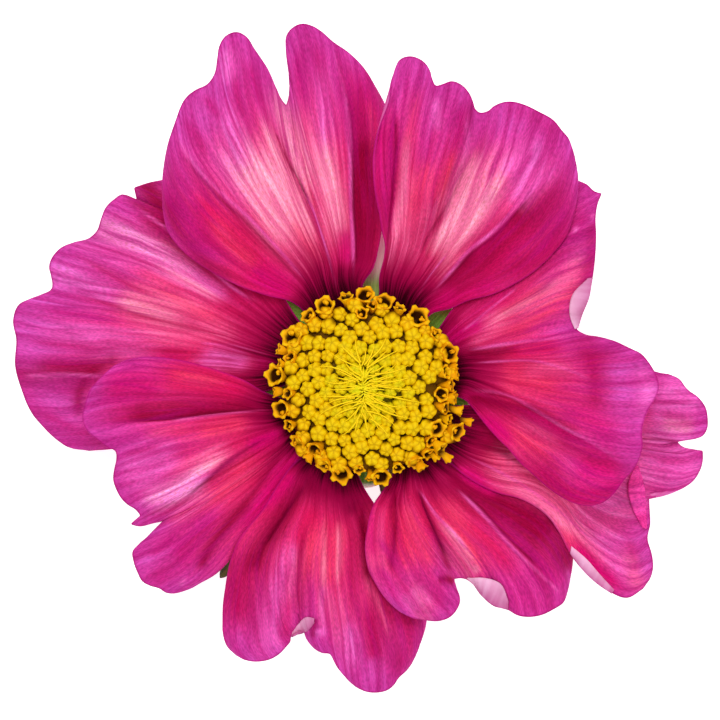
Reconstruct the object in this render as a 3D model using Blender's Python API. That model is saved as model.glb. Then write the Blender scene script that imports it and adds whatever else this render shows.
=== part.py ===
"""A picked cosmos flower head, face up, resting on its outer bracts and its cut stem.

Eight ray petals overlap round a domed disc of small yellow florets. Under them sit eight
short inner bracts and eight long outer bracts, all growing from one receptacle that ends
in a short cut stem. The plan of the flower is drawn in millimetres from the disc's centre,
with +Y at twelve o'clock, and moved at the end so that the model stands centred on Z.
"""

import math

import bpy
import numpy as np
from mathutils import Vector
from mathutils.bvhtree import BVHTree

MM = 0.001

# Driving dimensions, in millimetres.
DISC_CENTRE = (0.75, -2.98)
SEAT_GAP = 0.3
PETAL_THICKNESS = 0.4
PETAL_CLEARANCE = 1.05
PETAL_ROWS = 9
PETAL_ROOT_RADIUS = 7.85
# A rib starts flat at the root and stands higher with this power of the way along the petal.
RIB_GROWTH = 1.2
# The lift where a petal lies over another fades over its grid by this much a step.
LIFT_FADE = 0.97
LIFT_ROUNDS = 12
LIFT_STEPS = 4

# The receptacle and the stem are one turned shape: radius and height down the profile.
RECEPTACLE_PROFILE = (
    (0.0, 12.4), (2.5, 12.2), (5.0, 11.6), (7.0, 10.6), (7.4, 9.8), (7.2, 8.8),
    (5.6, 7.2), (3.2, 5.8), (1.5, 5.0), (1.1, 4.0), (1.15, 0.0), (0.0, 0.0),
)
RECEPTACLE_SIDES = 24

BUD_DOME_RADIUS = 6.2
BUD_DOME_TOP = 15.6
BUD_DOME_FALL = 0.036
BUD_DOME_RINGS = 9
BUD_DOME_SIDES = 28
BUD_BUMP = 0.3

OPEN_FLORETS = 20
FLORET_FOOT = (6.75, 11.4)
FLORET_MOUTH = (8.9, 14.2)
FLORET_LOBES = 5
# Each ring of a floret: how far up the tube, its radius at a lobe and between two lobes.
FLORET_RINGS = ((0.0, 0.42, 0.42), (0.6, 0.62, 0.56), (1.0, 1.12, 0.8), (0.93, 0.8, 0.55))
FLORET_THROAT = 0.45

BRACT_THICKNESS = 0.4
# A bract's edges stand this much above its middle.
BRACT_KEEL = 0.25
INNER_BRACT_PATH = ((4.75, 5.95), (6.6, 7.0), (8.6, 8.1), (10.2, 8.75), (12.0, 9.0))
INNER_BRACT_WIDTHS = (2.0, 3.4, 4.2, 3.3, 0.5)
INNER_BRACT_BEARINGS = (85, 43, -8, -42, -87, -133, -178, 130)
OUTER_BRACT_DROOP = 1.6
OUTER_BRACT_START = (2.8, 4.85)
OUTER_BRACT_WIDTHS = (1.4, 2.5, 2.9, 2.7, 2.0, 0.9)
# The bearing of each outer bract and how far out its tip touches the ground.
OUTER_BRACTS = (
    (107, 23.0), (62, 22.0), (17, 21.4), (-30, 22.5),
    (-75, 22.0), (-128, 24.6), (-165.5, 26.6), (152, 23.0),
)

# Each petal: the bearings of its root, the outline of its two sides and of its tip (x, y),
# the height of its middle vein at even steps from root to tip, and its ribs, each one the
# bearing of a fold as seen from the root and how high it stands above the middle vein.
# Sides run outwards. The tip runs clockwise from the left side to the right side.
PETALS = {
    "petal_left": {
        "root": (176, 138),
        "left": ((-10.5, -0.3), (-14.0, -1.0), (-18.0, -2.6), (-21.5, -4.4), (-25.0, -5.9)),
        "tip": (
            (-28.0, -6.2), (-30.0, -5.9), (-32.5, -3.9), (-34.2, -1.6), (-35.0, 0.8),
            (-35.3, 4.5), (-35.6, 7.0), (-35.2, 8.2), (-33.4, 9.2), (-31.8, 10.1),
            (-31.9, 12.4), (-31.4, 13.6), (-29.6, 14.6), (-27.8, 15.2), (-26.9, 16.9),
            (-26.1, 18.7), (-24.7, 19.4), (-23.2, 18.9), (-23.4, 20.2), (-20.5, 20.8),
        ),
        "right": ((-7.4, 7.6), (-8.8, 9.8), (-10.6, 12.4), (-12.8, 15.2), (-16.6, 19.0)),
        "arch": (9.9, 10.5, 10.2, 8.8, 6.6),
        "ribs": (
            (210, -0.6), (195, -0.7), (185.5, -0.4), (183.5, 0.5), (180, -0.3), (172, 0.6),
            (165, -0.6), (157, 0.6), (150.5, -0.7), (143, 0.8), (136, 0.1), (131, -0.8),
            (108, -1.8),
        ),
        "over": (),
    },
    "petal_upper_left": {
        "root": (129, 92),
        "left": ((-7.8, 9.0), (-11.5, 10.9), (-15.5, 13.6), (-18.8, 16.4), (-20.3, 19.2)),
        "tip": (
            (-20.5, 21.5), (-19.9, 24.4), (-19.2, 26.4), (-18.1, 29.1), (-16.4, 30.3),
            (-15.3, 31.5), (-14.9, 33.6), (-14.2, 35.2), (-12.9, 35.6), (-11.8, 34.9),
            (-10.0, 31.9), (-8.9, 29.6), (-8.2, 28.5), (-7.9, 30.2), (-8.2, 34.0),
            (-7.8, 35.7), (-6.4, 36.4), (-4.9, 35.9), (-3.2, 34.5), (-1.2, 33.0),
            (0.3, 31.0), (1.6, 28.6),
        ),
        "right": ((-0.3, 10.6), (0.6, 13.2), (1.7, 16.6), (2.3, 20.5), (2.2, 24.5)),
        "arch": (9.9, 12.3, 14.4, 15.4, 15.2),
        "ribs": (
            (165, -3.4), (150, -2.6), (133, 0.9), (118, 0.5), (108, -0.4), (105, -1.2),
            (101, 0.1), (92, 0.7), (86, -1.4), (70, -3.2),
        ),
        "over": ("petal_left",),
    },
    "petal_lower_left": {
        "root": (-139, -171),
        "left": ((-7.6, -8.8), (-9.8, -12.3), (-12.2, -15.5), (-13.9, -17.2), (-15.8, -18.8)),
        "tip": (
            (-17.6, -19.9), (-19.4, -20.4), (-21.2, -19.9), (-22.6, -19.1), (-23.4, -17.5),
            (-23.5, -16.0), (-22.1, -14.9), (-20.5, -13.3), (-22.0, -13.5), (-23.8, -13.6),
            (-22.6, -12.6), (-23.9, -11.6), (-25.0, -10.2), (-25.4, -8.6), (-25.1, -7.0),
            (-26.6, -5.5), (-28.2, -4.0), (-28.5, -2.5), (-27.9, -0.7), (-26.6, 1.4),
            (-25.0, 2.6),
        ),
        "right": ((-10.4, -0.4), (-12.4, 0.8), (-15.6, 2.2), (-19.6, 3.0), (-22.6, 3.2)),
        "arch": (9.9, 12.2, 14.2, 14.8, 13.8),
        "ribs": (
            (246, -2.6), (239, -2.0), (234, -0.6), (222, 0.2), (213, -0.9), (208, 0.9),
            (195, 0.8), (182, 0.2), (178.5, -0.9), (172, 0.1), (163, 0.9), (150, 0.7),
            (137, -0.2),
        ),
        "over": ("petal_left",),
    },
    "petal_bottom": {
        "root": (-101, -130),
        "left": (
            (-0.3, -10.2), (0.9, -11.7), (2.2, -13.6), (3.6, -16.4), (5.2, -20.0),
            (5.8, -23.2),
        ),
        "tip": (
            (5.2, -25.8), (3.8, -28.4), (2.2, -29.9), (0.8, -30.4), (-0.8, -30.1),
            (-2.4, -28.8), (-3.5, -26.8), (-4.9, -26.3), (-5.8, -25.4), (-5.9, -24.3),
            (-7.6, -24.7), (-8.3, -26.0), (-9.8, -27.0), (-11.4, -27.3), (-13.2, -26.7),
            (-14.4, -25.2),
        ),
        "right": (
            (-6.7, -7.3), (-8.8, -9.5), (-11.0, -11.5), (-12.6, -14.0), (-13.7, -17.6),
            (-14.3, -20.2), (-14.6, -22.8),
        ),
        "arch": (9.9, 11.6, 12.7, 12.2, 10.8),
        "ribs": (
            (-45, -3.0), (-62, -1.8), (-75, -0.4), (-82, 0.6), (-90, 0.2), (-94, 0.9),
            (-98, -0.7), (-104, -0.5), (-111, 0.9), (-119, -0.5), (-130, -0.9), (-152, -0.4),
        ),
        "over": ("petal_lower_left",),
    },
    "petal_bottom_right": {
        "root": (-47, -69),
        "left": ((8.2, -7.4), (11.6, -9.0), (15.2, -9.9), (17.8, -11.0), (19.4, -12.6)),
        "tip": (
            (20.1, -15.2), (20.4, -18.2), (19.7, -21.0), (18.2, -22.3), (15.6, -22.8),
            (14.0, -22.1), (12.4, -21.5), (11.0, -20.2), (9.8, -19.2), (8.7, -19.0),
            (9.2, -20.8), (8.7, -22.3), (7.2, -23.1), (5.2, -23.1), (3.4, -22.3),
            (1.7, -20.8),
        ),
        "right": ((2.4, -8.7), (1.2, -10.6), (0.1, -13.2), (-0.2, -16.6), (0.4, -18.6)),
        "arch": (9.9, 12.0, 13.6, 13.6, 12.4),
        "ribs": (
            (-22, -2.8), (-34, -1.8), (-44, 0.5), (-57, 1.0), (-63, 0.2), (-68, -0.9),
            (-74, -0.7), (-84, 0.7), (-95, 0.0), (-99, -0.6), (-104, 0.3), (-112, 0.7),
            (-128, 0.2),
        ),
        "over": ("petal_bottom",),
    },
    "petal_lower_right": {
        "root": (-13, -39),
        "left": ((12.0, -1.4), (17.0, 0.0), (22.0, 1.4), (26.0, 2.0)),
        "tip": (
            (28.9, 1.8), (30.8, 1.3), (32.1, 0.0), (33.6, -1.3), (34.1, -3.0),
            (33.8, -4.6), (31.2, -5.2), (33.5, -6.2), (33.4, -7.8), (32.3, -9.4),
            (30.2, -10.2), (28.1, -10.5), (28.2, -12.8), (28.0, -15.0), (28.5, -17.5),
            (28.0, -19.5), (26.6, -20.7),
        ),
        "right": (
            (8.4, -7.9), (11.5, -9.9), (15.3, -11.0), (18.0, -13.2), (20.2, -16.6),
            (22.4, -18.8), (24.8, -20.8),
        ),
        "arch": (9.9, 11.2, 11.6, 10.6, 9.4),
        "ribs": (
            (24, -1.8), (4, -2.4), (-4, -3.0), (-11, -2.2), (-18, 0.9), (-22, -0.5),
            (-34, 0.8), (-48, 1.6),
        ),
        "over": ("petal_bottom_right",),
    },
    "petal_right": {
        "root": (37, -4),
        "left": ((8.4, 8.0), (11.5, 11.5), (15.0, 15.5), (18.0, 18.8)),
        "tip": (
            (20.9, 20.7), (22.2, 20.1), (23.4, 19.4), (22.8, 17.6), (22.8, 14.0),
            (22.3, 10.6), (21.3, 8.2), (20.7, 6.1), (22.5, 5.3), (24.8, 4.7), (26.9, 3.6),
            (28.3, 2.0), (28.8, 0.2), (28.0, -2.4), (27.4, -5.2), (26.6, -7.8),
            (24.8, -10.0), (23.2, -11.3), (21.4, -11.7),
        ),
        "right": ((9.3, -1.2), (11.0, -3.2), (13.5, -6.0), (16.5, -9.0), (19.4, -10.9)),
        "arch": (9.9, 12.2, 14.3, 15.8, 16.6),
        "ribs": (
            (70, -3.0), (50, -1.4), (36, 0.2), (24, 0.3), (16, -0.9), (8, 0.6), (-8, 1.7),
            (-24, 2.3), (-30, 0.7), (-40, 1.5), (-50, 1.3), (-58, 0.4),
        ),
        "over": ("petal_lower_right",),
    },
    "petal_upper_right": {
        "root": (82, 48),
        "left": (
            (1.2, 10.6), (1.9, 13.6), (1.1, 17.0), (0.4, 20.6), (0.7, 24.2), (1.6, 27.2),
        ),
        "tip": (
            (2.3, 30.0), (3.0, 32.0), (4.3, 33.1), (5.7, 32.5), (6.4, 30.6), (7.0, 30.2),
            (8.6, 30.6), (10.0, 29.6), (10.9, 27.7), (12.2, 27.9), (14.1, 28.6),
            (16.2, 28.1), (18.5, 26.9), (20.0, 25.0), (20.8, 22.0), (20.9, 18.6),
        ),
        "right": (
            (7.4, 7.8), (10.0, 8.5), (13.0, 9.8), (16.0, 11.4), (18.6, 13.6), (20.2, 16.2),
        ),
        "arch": (9.9, 12.6, 15.4, 16.8, 17.0),
        "ribs": (
            (122, -2.0), (103, -2.0), (92, 0.9), (80, 0.1), (73, -0.9), (68, 1.0),
            (56, 0.7), (46, 0.9), (38, -1.0), (28, -2.4), (11, -3.4),
        ),
        "over": ("petal_upper_left", "petal_right"),
    },
}

# Each tissue's colour and roughness.
TISSUES = {
    "petal": ((0.72, 0.05, 0.32), 0.5),
    "bud": ((0.85, 0.62, 0.03), 0.55),
    "open_floret": ((0.86, 0.45, 0.02), 0.55),
    "bract": ((0.16, 0.3, 0.05), 0.6),
    "stem": ((0.2, 0.33, 0.07), 0.6),
}


def clear_scene():
    for obj in list(bpy.data.objects):
        bpy.data.objects.remove(obj)


def make_material(name, tissue):
    colour, roughness = TISSUES[tissue]
    material = bpy.data.materials.new(name)
    material.use_nodes = True
    shader = material.node_tree.nodes["Principled BSDF"]
    shader.inputs["Base Color"].default_value = (*colour, 1)
    shader.inputs["Roughness"].default_value = roughness
    shader.inputs["Metallic"].default_value = 0
    return material


def bearing_point(degrees, radius):
    angle = math.radians(degrees)
    return radius * math.cos(angle), radius * math.sin(angle)


def add_mesh(name, points, faces, tissue):
    """One object from points in millimetres, with its origin under the disc's centre."""
    mesh = bpy.data.meshes.new(name)
    mesh.from_pydata([Vector(p) * MM for p in points], [], faces)
    mesh.validate()
    mesh.materials.append(make_material(name, tissue))
    obj = bpy.data.objects.new(name, mesh)
    bpy.context.scene.collection.objects.link(obj)
    obj.location = (DISC_CENTRE[0] * MM, DISC_CENTRE[1] * MM, 0)
    return obj


def grid_faces(rows, columns):
    """The quads of a grid of rows by columns, wound so that they face up."""
    faces = []
    for row in range(rows - 1):
        for column in range(columns - 1):
            corner = row * columns + column
            faces.append((corner, corner + 1, corner + columns + 1, corner + columns)[::-1])
    return faces


def add_blade(name, grid, thickness, tissue):
    """A petal or a bract: a grid of points, given its thickness evenly to both sides."""
    rows, columns = grid.shape[:2]
    obj = add_mesh(name, grid.reshape(-1, 3).tolist(), grid_faces(rows, columns), tissue)
    obj.data.shade_smooth()
    solid = obj.modifiers.new("thickness", "SOLIDIFY")
    solid.thickness = thickness * MM
    solid.offset = 0
    return obj


def along(points, fractions):
    """Points on a polyline at fractions of its length."""
    points = np.array(points, float)
    steps = np.linalg.norm(np.diff(points, axis=0), axis=1)
    reached = np.concatenate([[0], np.cumsum(steps)]) / steps.sum()
    return np.stack([np.interp(fractions, reached, points[:, k]) for k in (0, 1)], axis=1)


def petal_plan(petal):
    """The petal from above, as rows from root to tip and one column for each tip point."""
    tip = np.array(petal["tip"], float)
    span = np.linalg.norm(np.diff(tip, axis=0), axis=1)
    across = np.concatenate([[0], np.cumsum(span)]) / span.sum()
    out = np.linspace(0, 1, PETAL_ROWS)
    bearings = np.radians(petal["root"][0] + across * (petal["root"][1] - petal["root"][0]))
    root = PETAL_ROOT_RADIUS * np.stack([np.cos(bearings), np.sin(bearings)], axis=1)
    left = along([root[0], *petal["left"], tip[0]], out)
    right = along([root[-1], *petal["right"], tip[-1]], out)
    s, t = out[:, None, None], across[None, :, None]
    sides = (1 - t) * left[:, None] + t * right[:, None]
    ends = (1 - s) * root[None] + s * tip[None]
    corners = (1 - s) * ((1 - t) * root[0] + t * root[-1]) + s * ((1 - t) * tip[0] + t * tip[-1])
    return sides + ends - corners, root.mean(axis=0)


def rib_height(petal, plan, root_middle):
    """How high each column stands above the middle vein at the tip, from the bearing of its end."""
    ends = plan[-1] - root_middle
    middle = sum(petal["root"]) / 2
    bearing = np.degrees(np.arctan2(ends[:, 1], ends[:, 0]))
    bearing = (bearing - middle + 180) % 360 - 180 + middle
    ribs = np.array(petal["ribs"], float)
    ribs[:, 0] = (ribs[:, 0] - middle + 180) % 360 - 180 + middle
    ribs = ribs[np.argsort(ribs[:, 0])]
    return np.interp(bearing, ribs[:, 0], ribs[:, 1])


def petal_grid(petal):
    plan, root_middle = petal_plan(petal)
    out = np.linspace(0, 1, PETAL_ROWS)
    arch = np.interp(out, np.linspace(0, 1, len(petal["arch"])), petal["arch"])
    lift = rib_height(petal, plan, root_middle)
    height = arch[:, None] + out[:, None] ** RIB_GROWTH * lift[None]
    return np.dstack([plan, height])


def surface_tree(grid):
    rows, columns = grid.shape[:2]
    return BVHTree.FromPolygons(grid.reshape(-1, 3).tolist(), grid_faces(rows, columns))


def between(grid, steps):
    """The grid with each cell cut into steps by steps, by straight lines."""
    rows, columns = grid.shape[:2]
    r = np.linspace(0, rows - 1, (rows - 1) * steps + 1)
    c = np.linspace(0, columns - 1, (columns - 1) * steps + 1)
    r0 = np.minimum(r.astype(int), rows - 2)
    c0 = np.minimum(c.astype(int), columns - 2)
    fr, fc = (r - r0)[:, None, None], (c - c0)[None, :, None]
    top = grid[r0][:, c0] * (1 - fc) + grid[r0][:, c0 + 1] * fc
    bottom = grid[r0 + 1][:, c0] * (1 - fc) + grid[r0 + 1][:, c0 + 1] * fc
    return top * (1 - fr) + bottom * fr


def lay_over(grid, trees):
    """Lifts a petal just clear of the petals under it, and eases the lift out over the rest."""
    steps = LIFT_STEPS
    fine = between(grid, steps)
    need = np.zeros(fine.shape[:2])
    for index in np.ndindex(need.shape):
        x, y, z = fine[index]
        for tree in trees:
            hit = tree.ray_cast(Vector((x, y, 99)), Vector((0, 0, -1)))[0]
            if hit is not None:
                need[index] = max(need[index], hit.z + PETAL_CLEARANCE - z)
    rows, columns = grid.shape[:2]
    lift = np.zeros((rows, columns))
    for row, column in np.ndindex(rows, columns):
        near_rows = slice(max(0, (row - 1) * steps), (row + 1) * steps + 1)
        near_columns = slice(max(0, (column - 1) * steps), (column + 1) * steps + 1)
        lift[row, column] = need[near_rows, near_columns].max()
    least = lift.copy()
    for _ in range(LIFT_ROUNDS):
        padded = np.pad(lift, 1, mode="edge")
        around = padded[:-2, 1:-1] + padded[2:, 1:-1] + padded[1:-1, :-2] + padded[1:-1, 2:]
        lift = np.maximum(least, around / 4 * LIFT_FADE)
    laid = grid.copy()
    laid[:, :, 2] += lift
    return laid


def add_petals():
    trees = {}
    for name, petal in PETALS.items():
        grid = petal_grid(petal)
        under = [trees[other] for other in petal["over"]]
        if under:
            grid = lay_over(grid, under)
        trees[name] = surface_tree(grid)
        add_blade(name, grid, PETAL_THICKNESS, "petal")


def add_receptacle():
    """The stem and the swollen head that carries everything, turned about Z."""
    points, faces = [], []
    inner = RECEPTACLE_PROFILE[1:-1]
    for radius, height in inner:
        for side in range(RECEPTACLE_SIDES):
            x, y = bearing_point(360 * side / RECEPTACLE_SIDES, radius)
            points.append((x, y, height))
    for ring in range(len(inner) - 1):
        for side in range(RECEPTACLE_SIDES):
            here, there = side, (side + 1) % RECEPTACLE_SIDES
            upper, lower = ring * RECEPTACLE_SIDES, (ring + 1) * RECEPTACLE_SIDES
            faces.append((upper + there, upper + here, lower + here, lower + there))
    top, bottom = len(points), len(points) + 1
    points += [(0, 0, RECEPTACLE_PROFILE[0][1]), (0, 0, RECEPTACLE_PROFILE[-1][1])]
    last = (len(inner) - 1) * RECEPTACLE_SIDES
    for side in range(RECEPTACLE_SIDES):
        there = (side + 1) % RECEPTACLE_SIDES
        faces.append((side, there, top))
        faces.append((last + there, last + side, bottom))
    obj = add_mesh("receptacle_and_stem", points, faces, "stem")
    obj.data.shade_smooth()


def receptacle_height(radius):
    """The height of the receptacle's domed top at a radius."""
    dome = RECEPTACLE_PROFILE[:5]
    return float(np.interp(radius, [r for r, _ in dome], [z for _, z in dome]))


def add_bud_dome():
    """The packed closed buds as one cobbled cap, seated on the receptacle's dome."""
    points, faces = [], []
    radii = [BUD_DOME_RADIUS * (ring + 1) / BUD_DOME_RINGS for ring in range(BUD_DOME_RINGS)]
    for ring, radius in enumerate(radii):
        for side in range(BUD_DOME_SIDES):
            x, y = bearing_point(360 * (side + ring / 2) / BUD_DOME_SIDES, radius)
            bump = BUD_BUMP * ((side + ring) % 2)
            points.append((x, y, BUD_DOME_TOP - BUD_DOME_FALL * radius**2 - bump))
    under_radii = (BUD_DOME_RADIUS, 4.6, 2.4)
    for radius in under_radii:
        for side in range(BUD_DOME_SIDES):
            x, y = bearing_point(360 * (side + (BUD_DOME_RINGS - 1) / 2) / BUD_DOME_SIDES, radius)
            points.append((x, y, receptacle_height(radius) + SEAT_GAP))
    rings = BUD_DOME_RINGS + len(under_radii)
    for ring in range(rings - 1):
        for side in range(BUD_DOME_SIDES):
            there = (side + 1) % BUD_DOME_SIDES
            inner, outer = ring * BUD_DOME_SIDES, (ring + 1) * BUD_DOME_SIDES
            faces.append((inner + there, inner + side, outer + side, outer + there))
    top, bottom = len(points), len(points) + 1
    points += [(0, 0, BUD_DOME_TOP), (0, 0, receptacle_height(0) + SEAT_GAP)]
    last = (rings - 1) * BUD_DOME_SIDES
    for side in range(BUD_DOME_SIDES):
        there = (side + 1) % BUD_DOME_SIDES
        faces.append((side, there, top))
        faces.append((last + there, last + side, bottom))
    add_mesh("bud_dome", points, faces, "bud")


def add_open_floret(number):
    """A tube that leans out over the petals and opens in five lobes round a hollow throat."""
    bearing = math.radians(360 * (number - 1) / OPEN_FLORETS)
    outward = Vector((math.cos(bearing), math.sin(bearing), 0))
    foot = outward * FLORET_FOOT[0] + Vector((0, 0, FLORET_FOOT[1]))
    mouth = outward * FLORET_MOUTH[0] + Vector((0, 0, FLORET_MOUTH[1]))
    axis = (mouth - foot).normalized()
    across = axis.cross(Vector((0, 0, 1))).normalized()
    up = across.cross(axis)
    sides = 2 * FLORET_LOBES
    points, faces = [], []
    for share, lobe_radius, notch_radius in FLORET_RINGS:
        for side in range(sides):
            angle = 2 * math.pi * side / sides
            radius = notch_radius if side % 2 else lobe_radius
            spoke = across * math.cos(angle) + up * math.sin(angle)
            points.append(foot.lerp(mouth, share) + spoke * radius)
    for ring in range(len(FLORET_RINGS) - 1):
        for side in range(sides):
            there = (side + 1) % sides
            low, high = ring * sides, (ring + 1) * sides
            faces.append((low + side, low + there, high + there, high + side)[::-1])
    last = (len(FLORET_RINGS) - 1) * sides
    foot_middle, throat = len(points), len(points) + 1
    points += [foot, foot.lerp(mouth, FLORET_THROAT)]
    for side in range(sides):
        there = (side + 1) % sides
        faces.append((side, there, foot_middle))
        faces.append((last + there, last + side, throat))
    add_mesh(f"open_floret_{number:02d}", points, faces, "open_floret")


def bract_grid(bearing, path, widths):
    """A bract with a shallow keel along its middle, narrowing to its tip."""
    outward = np.array([*bearing_point(bearing, 1)])
    aside = np.array([outward[1], -outward[0]])
    rows = []
    for (radius, height), width in zip(path, widths):
        row = []
        for share in (-0.5, 0.0, 0.5):
            x, y = outward * radius + aside * share * width
            row.append((x, y, height + (BRACT_KEEL if share else 0)))
        rows.append(row)
    return np.array(rows)


def add_bracts():
    for number, bearing in enumerate(INNER_BRACT_BEARINGS, start=1):
        grid = bract_grid(bearing, INNER_BRACT_PATH, INNER_BRACT_WIDTHS)
        add_blade(f"inner_bract_{number}", grid, BRACT_THICKNESS, "bract")
    ground = BRACT_THICKNESS / 2
    for number, (bearing, reach) in enumerate(OUTER_BRACTS, start=1):
        first_radius, first_height = OUTER_BRACT_START
        shares = np.linspace(0, 1, len(OUTER_BRACT_WIDTHS))
        radii = first_radius + (reach - first_radius) * shares
        heights = ground + (first_height - ground) * (1 - shares**OUTER_BRACT_DROOP)
        path = list(zip(radii, heights))
        grid = bract_grid(bearing, path, OUTER_BRACT_WIDTHS)
        add_blade(f"outer_bract_{number}", grid, BRACT_THICKNESS, "bract")


def main():
    clear_scene()
    add_petals()
    add_receptacle()
    add_bud_dome()
    for number in range(1, OPEN_FLORETS + 1):
        add_open_floret(number)
    add_bracts()


main()
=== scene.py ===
"""The finish of a picked cosmos flower head that lies face up.

Plans are drawn in millimetres from the disc's centre, with +Y at twelve o'clock. Heights
are in millimetres above the surface that the flower lies on.
"""

import math

import bpy
import numpy as np
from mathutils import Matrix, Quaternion, Vector
from mathutils.bvhtree import BVHTree


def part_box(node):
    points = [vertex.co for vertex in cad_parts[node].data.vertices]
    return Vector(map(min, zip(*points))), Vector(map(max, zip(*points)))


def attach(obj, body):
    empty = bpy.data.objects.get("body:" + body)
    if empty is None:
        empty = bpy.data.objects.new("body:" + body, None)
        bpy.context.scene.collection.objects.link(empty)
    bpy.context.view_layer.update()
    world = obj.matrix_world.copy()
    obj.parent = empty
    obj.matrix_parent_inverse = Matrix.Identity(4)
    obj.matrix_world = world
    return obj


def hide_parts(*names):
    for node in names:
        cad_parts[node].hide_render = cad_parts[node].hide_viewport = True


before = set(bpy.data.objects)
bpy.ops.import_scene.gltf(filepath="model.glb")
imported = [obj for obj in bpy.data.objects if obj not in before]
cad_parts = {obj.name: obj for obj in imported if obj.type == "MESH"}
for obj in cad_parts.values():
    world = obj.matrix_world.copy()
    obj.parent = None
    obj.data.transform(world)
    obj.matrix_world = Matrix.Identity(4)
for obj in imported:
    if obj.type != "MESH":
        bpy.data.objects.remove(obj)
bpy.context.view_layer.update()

MM = 0.001
GOLDEN_ANGLE = math.pi * (3 - math.sqrt(5))


def box_middle(low, high):
    return tuple((low[k] + high[k]) / 2 for k in range(3))


DISC = box_middle(*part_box("bud_dome"))
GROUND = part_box("receptacle_and_stem")[0][2] / MM
FOOT = (DISC[0], DISC[1], GROUND * MM)

# --- Petals -------------------------------------------------------------------------------

PETAL_ROWS = 96
PETAL_COLUMNS = 168
PETAL_OUT = np.linspace(0, 1, PETAL_ROWS)
PETAL_ACROSS = np.linspace(0, 1, PETAL_COLUMNS)
PETAL_ROOT_RADIUS = 7.6
PETAL_ROOT_SINK = 0.4
PETAL_HALF_THICKNESS = 0.11
PETAL_CLEARANCE = 0.5
ARCH_SOFTNESS = 7
RIB_GROWTH = 1.05
RIB_SOFTNESS = 3
FOLD_FADE = 0.22
RIPPLES = 7
EASING_STEPS = 500  # how often a petal's lift is evened out, and how much each time keeps of it
EASING_KEPT = 0.9985
FLAP_ROWS = 14
FLAP_COLUMNS = 36
FLAP_HALF_THICKNESS = 0.09
FLAP_CLEARANCE = 0.14
FLAP_LEVEL = 13  # a flap that overhangs its petal takes the height of the point nearest to this
SKY = 99  # rays are cast down from here
VEIN_SPACING = 60  # how far apart the petals lie in the pattern of veins

# How far strokes fade at their ends, as a share of their length: the sharp kinds, and the rest.
SHARP_KINDS = ("highlight_line", "crease_shade", "wine_and_shadow")
SHARP_FADE = 0.16
SOFT_FADE = 0.36

# Magenta strokes push back the dark throat, which is inside this share of a petal.
THROAT = 0.4
THROAT_PUSH = 0.2

# The tones that a petal is tinted with, as they look on a screen, and how much of each stays
# between its streaks. Some are the petal's own colours; others are painted shade and painted
# highlights, as noted beside them.
TONES = {
    "ember": ((206, 12, 78), 0.75),
    "coral": ((230, 56, 98), 0.5),
    "rose": ((240, 92, 148), 0.55),
    # pale coral, with a painted highlight in it
    "coral_highlight": ((252, 146, 184), 0.6),
    "magenta": ((206, 8, 102), 0.75),
    "plum": ((186, 22, 110), 0.65),
    # painted shade on panels turned from the light and in the shadows of neighbouring petals
    "shade": ((172, 8, 78), 0.8),
    # painted shadow where petals overlap and along creases, and the real dark wine-red near the
    # roots
    "wine_and_shadow": ((142, 2, 50), 0.85),
    "violet": ((206, 72, 168), 0.6),
    # painted highlight: a pale violet sheen
    "sheen": ((238, 98, 190), 0.6),
    # painted highlight: thin bright lines on the crests of folds, and small glints
    "highlight_line": ((230, 84, 168), 0.85),
    # painted highlight, pale pink-violet
    "pale": ((250, 140, 212), 0.6),
    # painted shade in creases and hollows, in thin dark lines beside the folds
    "crease_shade": ((92, 0, 32), 0.9),
}

# The tones of an untinted petal from its root to its tip.
BASE_TONES = ((170, 8, 76), (204, 28, 90), (214, 46, 114), (204, 50, 138), (196, 56, 150))
BASE_STOPS = (0, 0.35, 0.62, 0.85, 1)

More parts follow.
